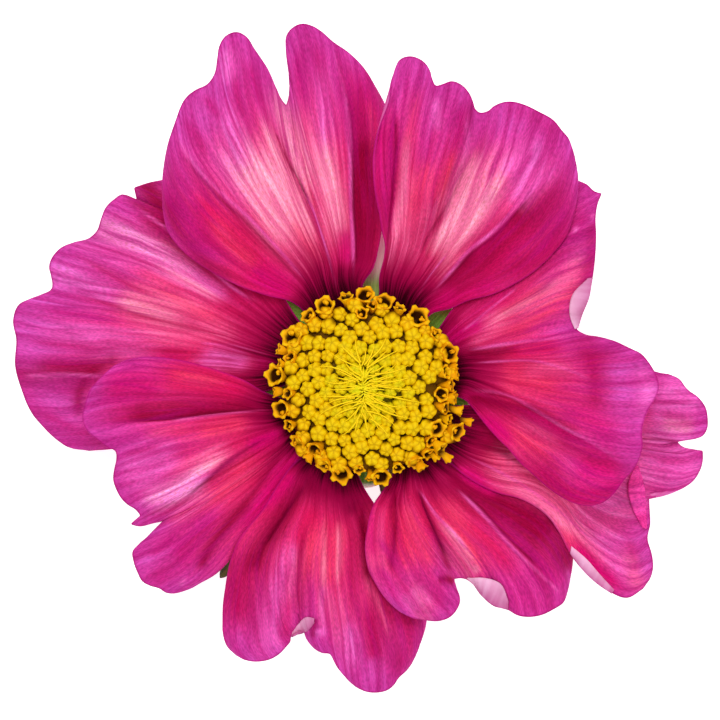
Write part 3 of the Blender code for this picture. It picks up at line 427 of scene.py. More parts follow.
PETALS["petal_bottom_right"] = {
    "root": (-47, -69),
    "left": ((8.2, -7.4), (11.6, -9), (15.2, -9.9), (17.8, -11), (19.4, -12.6), (20.1, -14.3)),
    "tip": (
        (20, -15.8), (20.4, -17.3), (20.2, -19), (19.9, -20.3), (19.5, -21.3), (18.5, -22),
        (17.5, -22.5), (16, -22.75), (15, -22.6), (13.9, -22), (12.6, -21.7), (11.7, -21),
        (11, -20.1), (10.4, -19.4), (9.8, -19), (9.3, -18.9), (8.6, -19), (8.9, -20), (9.2, -21.2),
        (8.9, -22), (8.3, -22.7), (7.2, -23.15), (5.8, -23.1), (4.3, -22.8), (3, -22.1),
    ),
    "right": (
        (2.3, -8.9), (1.2, -10.5), (0.6, -11.4), (0.2, -12.5), (-0.1, -14), (-0.3, -15.5),
        (-0.2, -17), (0.1, -18.2), (0.6, -19.2), (1.2, -20.2), (2, -21.2),
    ),
    "arch": (9.9, 12, 13.6, 13.6, 12.4),
    "ribs": (
        (-22, -2.8), (-34, -1.8), (-44, 0.5), (-57, 1), (-63, 0.2), (-68, -0.9), (-74, -0.7),
        (-84, 0.7), (-95, 0), (-99, -0.6), (-104, 0.3), (-112, 0.7), (-128, 0.2),
    ),
    "over": ("petal_bottom",),
    "folds": (
        (0.5, 0.45, ((5.4, -11), (6.95, -12.85), (8.7, -14.6), (9.95, -16.1), (10.95, -18.3))),
        (-0.4, 0.4, ((5, -10.5), (5.8, -12.4), (6.7, -14.4), (7.7, -16.8), (8.4, -18.6))),
        (-0.35, 0.35, ((2.7, -9.3), (2.65, -14.9), (2.3, -18.1), (2.6, -20.5))),
        (0.3, 0.35, ((8.9, -10), (11.2, -12.3), (14.2, -15.6), (17, -18.3), (19.6, -20.8))),
    ),
    "flaps": (
        (((10.5, -19.35), (11.3, -20.5), (12.4, -21.5), (14, -22)),
         ((9.9, -18.85), (11.6, -18.85), (13.2, -19.4), (14, -21.2)), 0.6, 1),
    ),
    "tints": (
        ("rose", 0.8, 1.3, ((1.4, -11.5), (0.9, -15), (1.3, -18.4))),
        ("ember", 0.8, 0.8, ((1.9, -10.8), (2, -15), (2.6, -19))),
        ("wine_and_shadow", 0.7, (0.12, 0.5), ((2.75, -9), (2.65, -14.9), (2.3, -18.1))),
        ("coral", 0.95, 1.1, ((3.6, -11), (4, -15), (4.2, -18.6))),
        ("coral", 0.8, 0.8, ((4.7, -12.4), (5.8, -15.8), (6.6, -18.4))),
        ("magenta", 0.5, 1.3, ((3.6, -19), (6, -20.6), (8, -21))),
        ("sheen", 0.9, 1.1, ((4.4, -19.6), (5.8, -22))),
        ("wine_and_shadow", 0.95, 0.4, ((4.6, -9.8), (5.8, -12.4), (6.7, -14.4), (7.7, -16.8), (8.2, -18.4))),
        ("coral", 0.9, 1.6, ((6.4, -10.5), (9, -14), (11, -17.4), (12.6, -19))),
        ("coral_highlight", 0.7, 0.35, ((7, -13), (8.6, -14.8), (10, -16.8), (10.9, -18.6))),
        ("ember", 0.6, 1.2, ((9, -11.8), (12.4, -15.8), (15.4, -19))),
        ("magenta", 0.4, 2, ((13, -19), (16, -21.6), (20.4, -21))),
        ("shade", 0.9, (4.2, 0.2), ((8.6, -9.6), (11.2, -12.3), (14.2, -15.6), (17, -18.3),
            (19.4, -20.6))),
        ("wine_and_shadow", 1, (1.2, 1.9), ((7.6, -8), (11, -10.2), (14.4, -12), (16.8, -13.4),
            (18.4, -15.4))),
        ("plum", 0.8, 1.4, ((15.4, -17), (17.6, -18.6), (19, -20.2))),
        ("wine_and_shadow", 0.5, 0.9, ((17.4, -12.6), (19.4, -15.4), (20, -18.6))),
        ("wine_and_shadow", 0.9, 0.5, ((6.9, -19), (7.8, -19), (8.7, -19.2))),
        ("magenta", 0.8, 0.9, ((0.6, -11), (0.4, -14), (0.8, -18))),
        ("magenta", 0.9, 0.7, ((8.8, -7.8), (10.6, -9.2), (13.4, -10.6))),
        ("ember", 0.6, 0.9, ((2.6, -11), (3, -14), (3.4, -19))),
        ("ember", 0.6, 0.7, ((5, -9.6), (5.6, -12.6), (6.8, -16))),
        ("rose", 0.8, 1, ((7.4, -15), (9, -17.4), (11, -20))),
        ("rose", 0.7, 1, ((4.4, -18.6), (5.4, -21.4), (6, -25))),
        ("wine_and_shadow", 0.6, 1, ((15, -12.6), (18.2, -15.4), (20.4, -18))),
        ("wine_and_shadow", 0.4, 0.35, ((4.7, -9.8), (5.9, -12.4), (6.9, -14.8), (7.9, -17.2), (8.4, -19))),
        ("wine_and_shadow", 0.8, 0.35, ((2.8, -9), (2.7, -14.9), (2.3, -18.4))),
        ("crease_shade", 0.7, 0.16, ((4.9, -10), (6, -12.6), (7, -14.8), (7.9, -17))),
        ("crease_shade", 0.6, 0.14, ((9.2, -9.9), (11.5, -12.2), (14.5, -15.4), (17.3, -18))),
        ("plum", 0.6, 0.4, ((0.4, -14.6), (2, -16.2), (3.4, -18.4))),
        ("plum", 0.6, 0.4, ((0.6, -17.6), (2, -19), (3, -21))),
        ("highlight_line", 0.7, 0.13, ((8.9, -10), (11.2, -12.3), (14.2, -15.6), (17, -18.3),
            (19.6, -20.8))),
        ("highlight_line", 0.6, 0.12, ((5, -10), (6.9, -12.7), (8.7, -14.5), (10, -16.2))),
        ("coral_highlight", 0.9, 0.2, ((10.6, -17.4), (11, -18.4))),
    ),
}
PETALS["petal_lower_right"] = {
    "root": (-13, -39),
    "left": ((12, -1.4), (17, 0), (22, 1.4), (26, 2)),
    "tip": (
        (28.4, 1.85), (29.3, 1.6), (30.4, 1.4), (31.2, 1), (32, 0), (33.2, -0.9), (33.9, -1.9),
        (34.1, -2.9), (34, -4.1), (33.6, -4.7), (32.5, -4.95), (31, -5.15), (31.3, -5.6),
        (32.8, -6.1), (33.6, -6.2), (33.6, -7), (33.4, -8), (32.7, -9.1), (31.5, -9.9), (30, -10.2),
        (28.1, -10.4), (28.2, -12), (28.25, -13.5), (28, -15), (28.4, -16.5), (28.5, -18),
        (28.2, -19), (27.5, -20),
    ),
    "right": (
        (8.5, -7.7), (10, -8.9), (13, -10.4), (15, -10.9), (16.5, -11.6), (18, -12.8), (19, -14.2),
        (20.4, -16.8), (22.5, -19), (24.2, -20.3), (25.9, -20.9),
    ),
    "arch": (9.9, 11.2, 11.6, 10.6, 9.4),
    "ribs": (
        (24, -1.8), (4, -2.4), (-4, -3), (-11, -2.2), (-18, 0.9), (-22, -0.5), (-34, 0.8),
        (-48, 1.6),
    ),
    "over": ("petal_bottom_right",),
    "folds": (
        (-0.4, 0.4, ((26.5, -4.9), (29, -5), (31.2, -5.2))),
        (-0.35, 0.5, ((12, -5), (17, -7.8), (22, -11), (26, -13.5))),
        (0.3, 0.4, ((9, -6.2), (14, -8.8), (19, -12.4), (23, -17), (25.5, -19.8))),
    ),
    "flaps": (
        (((27.85, -14), (27.8, -11.8), (27.55, -9.4), (27, -7.7)),
         ((27.5, -13.9), (26.4, -11.8), (26, -9.6), (26.8, -7.65)), 0.4, 0),
        (((20.2, -16.4), (21.4, -18), (22.9, -19.4), (24.4, -20.4)),
         ((20.3, -15.7), (21.8, -17), (23.2, -18.6), (24.6, -20.1)), 0.3, 1),
    ),
    "tints": (
        ("wine_and_shadow", 0.9, 1.4, ((9.4, -4.4), (13, -5.8), (16.5, -7.6), (19, -9))),
        ("ember", 0.7, 0.7, ((8.8, -7.8), (12, -9.6), (15, -10.6))),
        ("magenta", 0.8, 0.6, ((9.4, -8), (12, -9.4), (14.4, -10.4))),
        ("rose", 1, 1.3, ((11, -7.2), (15, -9.4), (19, -12.4), (22.4, -15.6), (25, -18.6))),
        ("coral_highlight", 0.5, 0.6, ((12, -8), (15.6, -10), (19, -12.8), (22, -15.6), (24.4, -18.4))),
        ("rose", 0.7, 1.2, ((19, -10.6), (22.4, -12.6), (25.4, -15))),
        ("coral", 0.6, 0.8, ((10.6, -6.2), (14.6, -8.2), (18.4, -10.4))),
        ("shade", 0.7, 0.3, ((12, -7), (17, -9.9), (21.4, -13.2), (25.2, -17.6))),
        ("sheen", 0.6, 1.8, ((22, -13.4), (25, -16.4), (27, -19.2))),
        ("violet", 0.7, 0.9, ((27, -13.5), (27.7, -16.5), (27.6, -19))),
        ("plum", 0.7, 0.5, ((25.6, -14.5), (26.6, -17), (26.4, -19.6))),
        ("rose", 0.8, 2.4, ((22, -12.6), (25, -11), (27, -7), (28, -2))),
        ("sheen", 0.9, 2.6, ((28, -2), (30.6, -2), (33, -2.6))),
        ("sheen", 0.9, 2.6, ((26, -6.6), (30, -6.8), (34, -6.8))),
        ("sheen", 0.6, 1.6, ((19, -12.6), (24, -11.4), (29, -7))),
        ("sheen", 0.95, 1.6, ((29, 0.4), (31.4, -0.8), (33.2, -2.8))),
        ("sheen", 0.95, 1.2, ((29.5, -9), (32, -8.4), (33, -6.8))),
        ("coral_highlight", 0.6, 0.7, ((29, -3.4), (31, -3.6), (33, -3.8))),
        ("plum", 0.5, 0.35, ((28.6, -1.6), (32.8, -1.2))),
        ("plum", 0.5, 0.35, ((28.6, -7.2), (32.8, -7.2))),
        ("wine_and_shadow", 0.5, 0.2, ((26.8, -5), (29, -5), (31.2, -5.2))),
        ("rose", 0.8, 1.2, ((12, -5.6), (14.4, -7), (18, -9.6), (21, -12.4))),
        ("rose", 0.8, 1.4, ((11, -8), (14.4, -9), (18, -11.4), (22, -13))),
        ("rose", 0.6, 1, ((25, -15.4), (26.4, -18), (27.4, -21))),
        ("magenta", 1, 1, ((8.4, -8), (10, -9), (12, -10.4))),
        ("plum", 0.6, 0.8, ((28.6, -2.6), (30.4, -2.8), (33, -3.4))),
        ("coral", 0.7, 0.8, ((18.4, -13.4), (21, -16), (23.4, -19))),
        ("crease_shade", 0.5, 0.25, ((10, -4.9), (13.4, -6.4), (17.6, -8.9), (20.6, -11.6))),
        ("magenta", 1, 0.9, ((19.6, -14.6), (22.4, -17.4), (25.8, -20.8))),
        ("highlight_line", 0.9, 0.16, ((30.7, -0.2), (31.3, -0.4))),
        ("highlight_line", 0.9, 0.16, ((29, -9.3), (30.4, -9.4))),
        ("highlight_line", 0.6, 0.12, ((9.5, -6.6), (14, -8.8), (19, -12.2), (23, -16))),
    ),
}
PETALS["petal_right"] = {
    "root": (37, -4),
    "left": ((8.4, 8), (11.5, 11.5), (15, 15.5), (18, 18.8)),
    "tip": (
        (20.9, 20.8), (21.8, 20.4), (22.6, 19.7), (23.3, 19.5), (22.9, 18.5), (22.7, 17.4),
        (22.7, 15), (22.6, 13), (22.4, 11.3), (22.1, 9.8), (21.4, 8.1), (20.9, 6.9), (20.75, 6.1),
        (21.5, 5.5), (23, 5.2), (24.5, 4.8), (26, 4.1), (27.2, 3.5), (27.9, 2.7), (28.4, 1.9),
        (28.8, 1), (28.9, 0), (28.5, -1), (27.9, -2), (27.4, -3.2), (27.2, -4.5), (27.3, -5.5),
        (27, -6.8), (26.4, -8), (25.5, -9), (24.5, -10.3), (23.5, -11.2), (22.2, -11.65),
    ),
    "right": (
        (9.8, -1.2), (10.5, -2), (11.5, -3.3), (12.8, -4.8), (14, -6), (15, -7.2), (16.5, -8.6),
        (18, -9.9), (19.5, -10.9), (21, -11.5),
    ),
    "arch": (9.9, 12.2, 14.3, 15.8, 16.6),
    "ribs": (
        (70, -3), (50, -1.4), (36, 0.2), (24, 0.3), (16, -0.9), (8, 0.6), (-8, 1.7), (-24, 2.3),
        (-30, 0.7), (-40, 1.5), (-50, 1.3), (-58, 0.4),
    ),
    "over": ("petal_lower_right",),
    "folds": (
        (0.25, 0.3, ((9.7, 3.9), (13, 4.4), (15.1, 4.7), (19.4, 5.2), (21, 5.6))),
        (0.2, 0.3, ((10, 2.5), (13, 2.8), (16.8, 2.8), (19.7, 2), (23, 0.6))),
        (-0.5, 0.5, ((9.7, -0.2), (13.9, -0.8), (16.8, -2.4), (19.7, -4.2), (22.9, -5.9),
            (26, -8))),
    ),
    "flaps": (
        (((20.85, 6.1), (21.3, 7.5), (21.9, 9), (22.3, 11.1)),
         ((20.6, 6), (20.1, 7.4), (20.3, 9.2), (21.9, 11)), 0.5, 1),
    ),
    "tints": (
        ("shade", 0.95, 1.8, ((8.4, 7.2), (13, 10.4), (18, 14.6), (21.2, 19.5))),
        ("wine_and_shadow", 0.8, 0.8, ((8.6, 7.8), (12, 10.2), (16, 13.6), (19, 17.4))),
        ("rose", 0.9, 1.3, ((9.4, 5.2), (12, 6.4), (14.6, 7.6))),
        ("magenta", 0.6, 0.8, ((8.8, 6.4), (11.6, 7.8), (15, 10))),
        ("coral", 0.9, 1.7, ((12, 5.2), (16, 7.4), (20, 10), (21.8, 13.4))),
        ("rose", 0.85, 0.9, ((13, 6.8), (17, 9), (20.4, 11.8), (21.6, 15))),
        ("coral_highlight", 0.7, 0.35, ((12, 6.6), (16, 8.9), (19.6, 11.2))),
        ("plum", 0.6, 0.7, ((20, 14.5), (22, 17.6))),
        ("magenta", 1, 1, ((7, 4.6), (9.6, 5.7), (12.4, 6.8))),
        ("ember", 0.6, 0.9, ((12.6, 7), (15.4, 8.8), (18.6, 10.4))),
        ("magenta", 0.8, 0.9, ((9, -2.6), (11.6, -3.8), (14.6, -5))),
        ("rose", 0.6, 0.7, ((14.4, -3), (17, -4.4), (19.6, -6))),
        ("shade", 1, 1.3, ((14, -6), (17.4, -8.2), (20.4, -10.6), (24, -10.4), (27.6, -7.4))),
        ("shade", 0.6, 1.6, ((19, 6), (22, 4), (24.2, 0), (24, -4))),
        ("magenta", 0.7, 0.9, ((8.6, -0.6), (10.4, -1), (12.4, -1.4))),
        ("wine_and_shadow", 0.8, 0.7, ((15.4, -1.6), (18, -3), (21, -4.8))),
        ("crease_shade", 0.5, 0.14, ((10.4, -0.5), (13.9, -0.85), (16.8, -2.4), (19.7, -4.2),
            (22.9, -5.9))),
        ("crease_shade", 0.4, 0.12, ((9.9, 3.6), (13, 4.1), (15.1, 4.4), (19.4, 4.9))),
        ("shade", 0.7, 0.9, ((21.2, 8.6), (22, 12), (22.6, 18))),
        ("highlight_line", 0.5, 0.12, ((9.4, 5.7), (12, 7.8), (15, 10.2))),
        ("highlight_line", 0.9, 0.3, ((20.5, 16.1), (20.9, 15.7))),
        ("highlight_line", 0.9, 0.16, ((22.5, 17.4), (22.3, 16.9))),
        ("wine_and_shadow", 0.8, 0.8, ((9.6, 3.4), (12.6, 3.5), (15.5, 4))),
        ("ember", 0.8, 1, ((13, 3.2), (16.5, 3.9), (20, 4.4))),
        ("coral", 0.95, 1.5, ((12.6, 1.2), (16, 1), (19.6, 0.2))),
        ("rose", 0.75, 0.7, ((15, 1.7), (18.4, 1.9), (21, 1.6))),
        ("highlight_line", 0.6, 0.12, ((9.7, 3.9), (13, 4.4), (15.1, 4.7), (19.4, 5.2), (21, 5.6))),
        ("highlight_line", 0.55, 0.1, ((10, 2.5), (13, 2.8), (16.8, 2.8), (19.7, 2), (22.6, 0.8))),
        ("shade", 0.8, 1, ((20.6, 4.4), (22.3, 2.6), (22.7, 0), (22.3, -3))),
        ("violet", 0.85, 1.6, ((24.6, 3.4), (25.4, 0.6), (25, -3.4))),
        ("sheen", 0.75, 0.9, ((26.6, 2.6), (27.8, 0.4), (27, -3.4))),
        ("magenta", 0.8, 2.2, ((20, -7.4), (23, -8), (25.6, -7))),
        ("magenta", 0.6, 1.1, ((19, -1.6), (22, -3), (25.4, -5.4))),
        ("wine_and_shadow", 1, (0.3, 0.9), ((9.6, -0.7), (12.4, -1.1), (15, -1.8), (17.6, -2.9))),
        ("shade", 0.85, (0.1, 1.6), ((14, -1), (16.8, -2.4), (19.7, -4.2), (22.9, -5.9), (26, -8))),
        ("coral", 0.95, 0.9, ((12.8, -3.6), (15.6, -5.2), (18.4, -7.2))),
        ("magenta", 0.9, 0.8, ((10.6, -2.6), (12.8, -3.8), (15, -6))),
        ("highlight_line", 0.5, 0.16, ((10, 0), (13.9, -0.55), (16.8, -2.1), (19.7, -3.9), (22.9, -5.6),
            (25.5, -7.4))),
        ("shade", 0.6, 0.5, ((13.4, -5.8), (16.4, -8.6), (19.4, -10.8))),
        ("plum", 0.5, 0.4, ((19.6, -6.4), (23, -9))),
    ),
}
PETALS["petal_upper_right"] = {
    "root": (82, 48),
    "left": (
        (1.1, 9.8), (1.1, 11), (1.6, 13.2), (1.7, 14.3), (1.4, 15.6), (1.1, 17.5), (0.7, 19.5),
        (0.5, 21.5), (0.5, 23), (0.8, 24.8), (1.3, 26.4), (1.9, 28),
    ),
    "tip": (
        (2.15, 28.9), (2.35, 30.5), (2.7, 31.9), (3.2, 32.8), (4, 33.1), (5, 32.9), (5.8, 32.3),
        (6.2, 31.6), (6.4, 30.8), (6.75, 30.2), (7.3, 30.3), (8.4, 30.65), (9.3, 30.3), (10, 29.6),
        (10.4, 28.7), (10.7, 27.8), (11, 27.55), (11.9, 27.65), (12.6, 28.2), (13.5, 28.55),
        (14.3, 28.6), (15.5, 28.3), (17, 27.6), (18.4, 26.8), (19.3, 25.7), (19.9, 25), (20.3, 24),
        (20.7, 22.5), (20.9, 20.9), (20.8, 19),
    ),
    "right": (
        (6.4, 7.5), (8.2, 8), (10, 8.8), (12.3, 9.4), (14.5, 10.4), (16.5, 11.7), (18.5, 13.6),
        (19.8, 15.3), (20.4, 17),
    ),
    "arch": (9.9, 12.6, 15.4, 16.8, 17),
    "ribs": (
        (122, -2), (103, -2), (92, 0.9), (80, 0.1), (73, -0.9), (68, 1), (56, 0.7), (46, 0.9),
        (38, -1), (28, -2.4), (11, -3.4),
    ),
    "over": ("petal_upper_left", "petal_right"),
    "folds": (
        (0.35, 0.4, ((1.9, 14.6), (2.2, 16.2), (2.6, 19.3), (2.8, 22.2), (2.95, 25.3), (2.8, 28))),
        (-0.45, 0.5, ((4.6, 13.6), (6, 17), (7.5, 20.4), (8.7, 24.8), (9.6, 29))),
        (0.35, 0.4, ((5.2, 13.6), (6.5, 15.7), (8.55, 18.8), (10.1, 22.2), (11.4, 24.8),
            (11.6, 27.3))),
        (0.35, 0.4, ((6.2, 9.4), (8.3, 11.8), (10.1, 13.85), (12.7, 15.9), (14.8, 18.3),
            (16.4, 20.4), (19.6, 24))),
    ),
    "flaps": (),
    "tints": (
        ("rose", 0.95, 1.1, ((2.7, 14), (3.5, 18), (4.2, 22.4))),
        ("coral", 0.8, 1, ((3.8, 15), (5, 19.4), (5.9, 23.6))),
        ("coral_highlight", 0.7, 0.4, ((2.6, 14), (3.2, 18), (3.6, 22), (4, 26))),
        ("coral", 0.5, 0.7, ((4, 23), (4.4, 27), (5, 30.6))),
        ("shade", 0.9, 0.9, ((4.6, 12.6), (6.2, 16.6), (7.6, 20.4), (8.8, 24.4))),
        ("coral", 0.7, 0.5, ((6.6, 18.2), (8, 21.6), (9, 24.6))),
        ("plum", 0.8, 0.9, ((8.4, 22.8), (9.2, 26), (9.5, 29))),
        ("plum", 0.5, 0.5, ((5.8, 22), (6.4, 25.6))),
        ("sheen", 0.95, 0.5, ((6.9, 25.4), (6.7, 29.4))),
        ("sheen", 0.5, 0.3, ((9.4, 21.8), (10, 24.8), (9.8, 27.6))),
        ("violet", 0.6, 1.6, ((12, 26.5), (15.6, 27), (18.6, 25.4))),
        ("rose", 0.95, 2.4, ((6.8, 13), (9.4, 17), (12, 21), (14.6, 24.8))),
        ("coral_highlight", 0.95, (0.3, 1.6), ((5.8, 13.2), (7.4, 16), (9.4, 19.2), (11, 22.2))),
        ("coral_highlight", 0.7, 0.8, ((8.8, 14.6), (11.6, 18.4), (14, 22))),
        ("shade", 0.6, 0.3, ((5.2, 13.6), (6.5, 15.7), (8.55, 18.9), (10.1, 22.3), (11.3, 24.8),
            (11.5, 27.2))),
        ("sheen", 0.85, 1.3, ((13.4, 20.6), (15.6, 23), (17.6, 25))),
        ("plum", 0.7, 0.35, ((11.6, 20.4), (13.8, 24.6))),
        ("plum", 0.6, 0.35, ((14.4, 20.6), (16.8, 24.2))),
        ("plum", 0.6, 1.2, ((13, 28), (16.6, 27), (19.4, 24.4))),
        ("shade", 1, (0.14, 5), ((6.2, 9.2), (7.5, 10.5), (9.6, 13.1), (11.4, 14.6), (14.3, 17.2),
            (16.4, 19.3), (20.3, 23))),
        ("wine_and_shadow", 0.9, (0.14, 1.6), ((6.6, 9.6), (9.6, 13.1), (11.4, 14.6), (14.3, 17.2),
            (16.6, 19.5))),
        ("ember", 0.4, 0.8, ((11, 10.6), (14, 13.6), (17.4, 17.4))),
        ("plum", 0.6, 1.3, ((15, 12), (18.5, 15.6), (20.2, 19.6))),
        ("magenta", 0.6, 0.9, ((7.6, 8.4), (10.6, 9.8), (13.6, 11))),
        ("magenta", 1, 1, ((5.6, 6.6), (7.2, 8.2), (9.4, 9.8))),
        ("rose", 0.8, (0.1, 0.9), ((1.9, 11), (2.1, 15), (2.6, 19))),
        ("plum", 1, (2.6, 0.12), ((2, 12.6), (2.2, 16.2), (2.6, 19.3), (2.8, 22.2), (2.95, 25.3),
            (2.6, 30))),
        ("shade", 0.9, (0.9, 0.1), ((2, 13.5), (2.2, 16.2), (2.6, 19.3), (2.8, 22.2), (2.95, 25.3),
            (2.7, 29))),
        ("magenta", 0.7, 0.5, ((1.1, 17), (1, 21), (1.3, 25.4), (1.9, 28))),
        ("rose", 0.7, 0.9, ((3.8, 12), (4.6, 15.6), (5.6, 19))),
        ("coral_highlight", 0.6, 1, ((7.4, 16.4), (9.6, 20.4), (11.4, 24))),
        ("sheen", 0.8, 1.1, ((14, 18), (16.4, 20.4), (19, 22.8))),
        ("shade", 0.8, 1.3, ((9.6, 12.6), (12.4, 15.2), (15.4, 17.6))),
        ("shade", 0.8, 1.6, ((12, 11), (16.6, 12.8), (20.6, 17))),
        ("coral_highlight", 0.25, 0.7, ((6.4, 10.6), (8.4, 13.6), (10.6, 16.6), (12, 19))),
        ("crease_shade", 0.6, 0.12, ((1.8, 13.5), (2.05, 16.2), (2.45, 19.3), (2.65, 22.2), (2.8, 25.3),
            (2.6, 28))),
        ("crease_shade", 0.5, 0.14, ((6.5, 9.3), (8.6, 11.6), (10.4, 13.6), (13, 15.6), (15.1, 18),
            (16.8, 20.1))),
        ("crease_shade", 0.4, 0.12, ((5, 13.2), (6.3, 15.7), (8.3, 18.9), (9.9, 22.3))),
        ("highlight_line", 0.8, 0.14, ((6.2, 9.4), (8.3, 11.8), (10.1, 13.85), (12.7, 15.9), (14.8, 18.3),
            (16.4, 20.4), (19.6, 24))),
        ("highlight_line", 0.6, 0.1, ((4.8, 9), (6.2, 11.4), (8, 13.6))),
    ),
}


def smooth_curve(points, count):
    """Evenly spaced points on a smooth curve through the given ones, with corners kept sharp."""
    points = np.array(points, float)
    chords = np.diff(points, axis=0)
    lengths = np.linalg.norm(chords, axis=1)
    headings = chords / lengths[:, None]
    leaving, arriving = headings.copy(), headings.copy()
    sharp = math.cos(math.radians(80))
    for k in range(1, len(points) - 1):
        if headings[k - 1] @ headings[k] > sharp:
            mean = headings[k - 1] / lengths[k - 1] + headings[k] / lengths[k]
            leaving[k] = arriving[k - 1] = mean / np.linalg.norm(mean)
    u = np.linspace(0, 1, 12, endpoint=False)[:, None]
    runs = []
    for k in range(len(chords)):
        a, b = points[k], points[k + 1]
        pull = lengths[k]
        runs.append(
            (2 * u**3 - 3 * u**2 + 1) * a + (u**3 - 2 * u**2 + u) * leaving[k] * pull
            + (3 * u**2 - 2 * u**3) * b + (u**3 - u**2) * arriving[k] * pull
        )
    dense = np.vstack([*runs, points[-1:]])
    steps = np.linalg.norm(np.diff(dense, axis=0), axis=1)
    reached = np.concatenate([[0], np.cumsum(steps)])
    wanted = np.linspace(0, reached[-1], count)
    return np.stack([np.interp(wanted, reached, dense[:, k]) for k in (0, 1)], axis=1)


def petal_plan(petal):
    """The petal from above: rows from its root to its tip, columns from left to right."""
    start, end = petal["root"]
    bearings = np.radians(start + PETAL_ACROSS * (end - start))
    root = PETAL_ROOT_RADIUS * np.stack([np.cos(bearings), np.sin(bearings)], axis=1)
    tip = smooth_curve(petal["tip"], PETAL_COLUMNS)
    left = smooth_curve([root[0], *petal["left"], tip[0]], PETAL_ROWS)
    right = smooth_curve([root[-1], *petal["right"], tip[-1]], PETAL_ROWS)
    s, t = PETAL_OUT[:, None, None], PETAL_ACROSS[None, :, None]
    sides = (1 - t) * left[:, None] + t * right[:, None]
    ends = (1 - s) * root[None] + s * tip[None]
    corners = (1 - s) * ((1 - t) * root[0] + t * root[-1])
    corners = corners + s * ((1 - t) * tip[0] + t * tip[-1])
    return sides + ends - corners


def blur_line(values, width):
    """A row of numbers, softened over a width given in steps."""
    reach = int(3 * width) + 1
    weights = np.exp(-0.5 * (np.arange(-reach, reach + 1) / width) ** 2)
    return np.convolve(np.pad(values, reach, mode="edge"), weights / weights.sum(), mode="valid")


def rib_profile(petal, plan):
    """The height of each column over the middle vein, at the tip."""
    ends = plan[-1] - plan[0].mean(axis=0)
    middle = sum(petal["root"]) / 2
    bearing = np.degrees(np.arctan2(ends[:, 1], ends[:, 0]))
    bearing = (bearing - middle + 180) % 360 - 180
    ribs = np.array(petal["ribs"], float)
    ribs[:, 0] = (ribs[:, 0] - middle + 180) % 360 - 180
    ribs = ribs[np.argsort(ribs[:, 0])]
    return blur_line(np.interp(bearing, ribs[:, 0], ribs[:, 1]), RIB_SOFTNESS)


def line_distance(plan, line):
    """How far each point of a plan lies from a line, how far along it, and on which side."""
    line = smooth_curve(line, 24)
    nearest = np.full(plan.shape[:2], np.inf)
    share = np.zeros(plan.shape[:2])
    left = np.zeros(plan.shape[:2], bool)
    for k in range(len(line) - 1):
        a, step = line[k], line[k + 1] - line[k]
        t = np.clip(((plan - a) @ step) / (step @ step), 0, 1)
        away = plan - a - t[..., None] * step
        gap = np.linalg.norm(away, axis=-1)
        closer = gap < nearest
        nearest = np.where(closer, gap, nearest)
        share = np.where(closer, (k + t) / (len(line) - 1), share)
        left = np.where(closer, step[0] * away[..., 1] > step[1] * away[..., 0], left)
    return nearest, share, left


def fade_ends(share, run):
    fade = np.clip(share / run + 0.1, 0, 1) * np.clip((1 - share) / run + 0.1, 0, 1)
    return fade * fade * (3 - 2 * fade)


def surface_tree(grid):
    return BVHTree.FromPolygons(grid.reshape(-1, 3).tolist(), grid_quads(*grid.shape[:2]))


def grid_quads(rows, columns):
    """The quads of a grid, wound so that they face up."""
    corner = (np.arange(rows - 1)[:, None] * columns + np.arange(columns - 1)[None]).reshape(-1)
    return np.stack([corner + columns, corner + columns + 1, corner + 1, corner], axis=1).tolist()


def spread(field, reach):
    """The highest value near each point, then softened, so that it stays an upper bound."""
    for axis, size in enumerate(field.shape):
        padded = np.pad(field, [(reach * (k == axis),) * 2 for k in (0, 1)], mode="edge")
        windows = [padded.take(range(k, k + size), axis=axis) for k in range(2 * reach + 1)]
        field = np.max(windows, axis=0)
    for axis in (0, 1):
        field = np.apply_along_axis(blur_line, axis, field, reach / 2)
    return field


def look_down(tree, x, y):
    """Where a surface is met from above, or None where it isn't."""
    return tree.ray_cast(Vector((x, y, SKY)), Vector((0, 0, -1)))[0]


def lay_over(grid, trees):
    """Lifts a petal clear of those under it and eases the lift out over the rest of it."""
    need = np.zeros(grid.shape[:2])
    for index in np.ndindex(need.shape):
        x, y, z = grid[index]
        for tree in trees:
            hit = look_down(tree, x, y)
            if hit is not None:
                need[index] = max(need[index], hit.z + PETAL_CLEARANCE - z)
    need = spread(need, 4)
    lift = need.copy()
    for _ in range(EASING_STEPS):
        padded = np.pad(lift, 1, mode="edge")
        around = padded[:-2, 1:-1] + padded[2:, 1:-1] + padded[1:-1, :-2] + padded[1:-1, 2:]
        lift = np.maximum(need, around / 4 * EASING_KEPT)
    laid = grid.copy()
    laid[:, :, 2] += lift
    return laid


def unit(vectors):
    return vectors / np.maximum(np.linalg.norm(vectors, axis=-1, keepdims=True), 1e-12)


def grid_normals(grid):
    outward = np.gradient(grid, axis=0)
    across = np.gradient(grid, axis=1)
    return unit(np.cross(across, outward))


def flap_grid(turn, free, rise, tree):
    """A turned-over stretch of margin: from its turn, up and over, to its free edge."""
    outer, inner = smooth_curve(turn, FLAP_COLUMNS), smooth_curve(free, FLAP_COLUMNS)
    over = np.linspace(0, 1, FLAP_ROWS)[:, None, None]
    plan = outer[None] * (1 - over) + inner[None] * over
    plan += 0.12 * np.sin(over * math.pi) * unit(outer - inner)[None]
    ends = np.sin(np.linspace(0.06, 0.94, FLAP_COLUMNS) * math.pi)[None]
    height = np.zeros(plan.shape[:2])
    for index in np.ndindex(height.shape):
        x, y = plan[index]
        near = tree.find_nearest(Vector((x, y, FLAP_LEVEL)))[0]
        height[index] = (look_down(tree, x, y) or near).z
    height = np.apply_along_axis(blur_line, 0, height, 1.5)
    height = np.apply_along_axis(blur_line, 1, height, 2)
    swell = np.sin(over[..., 0] * math.pi * 0.72 + 0.1)
    return np.dstack([plan, height + FLAP_CLEARANCE + rise * swell * (0.25 + 0.75 * ends)])


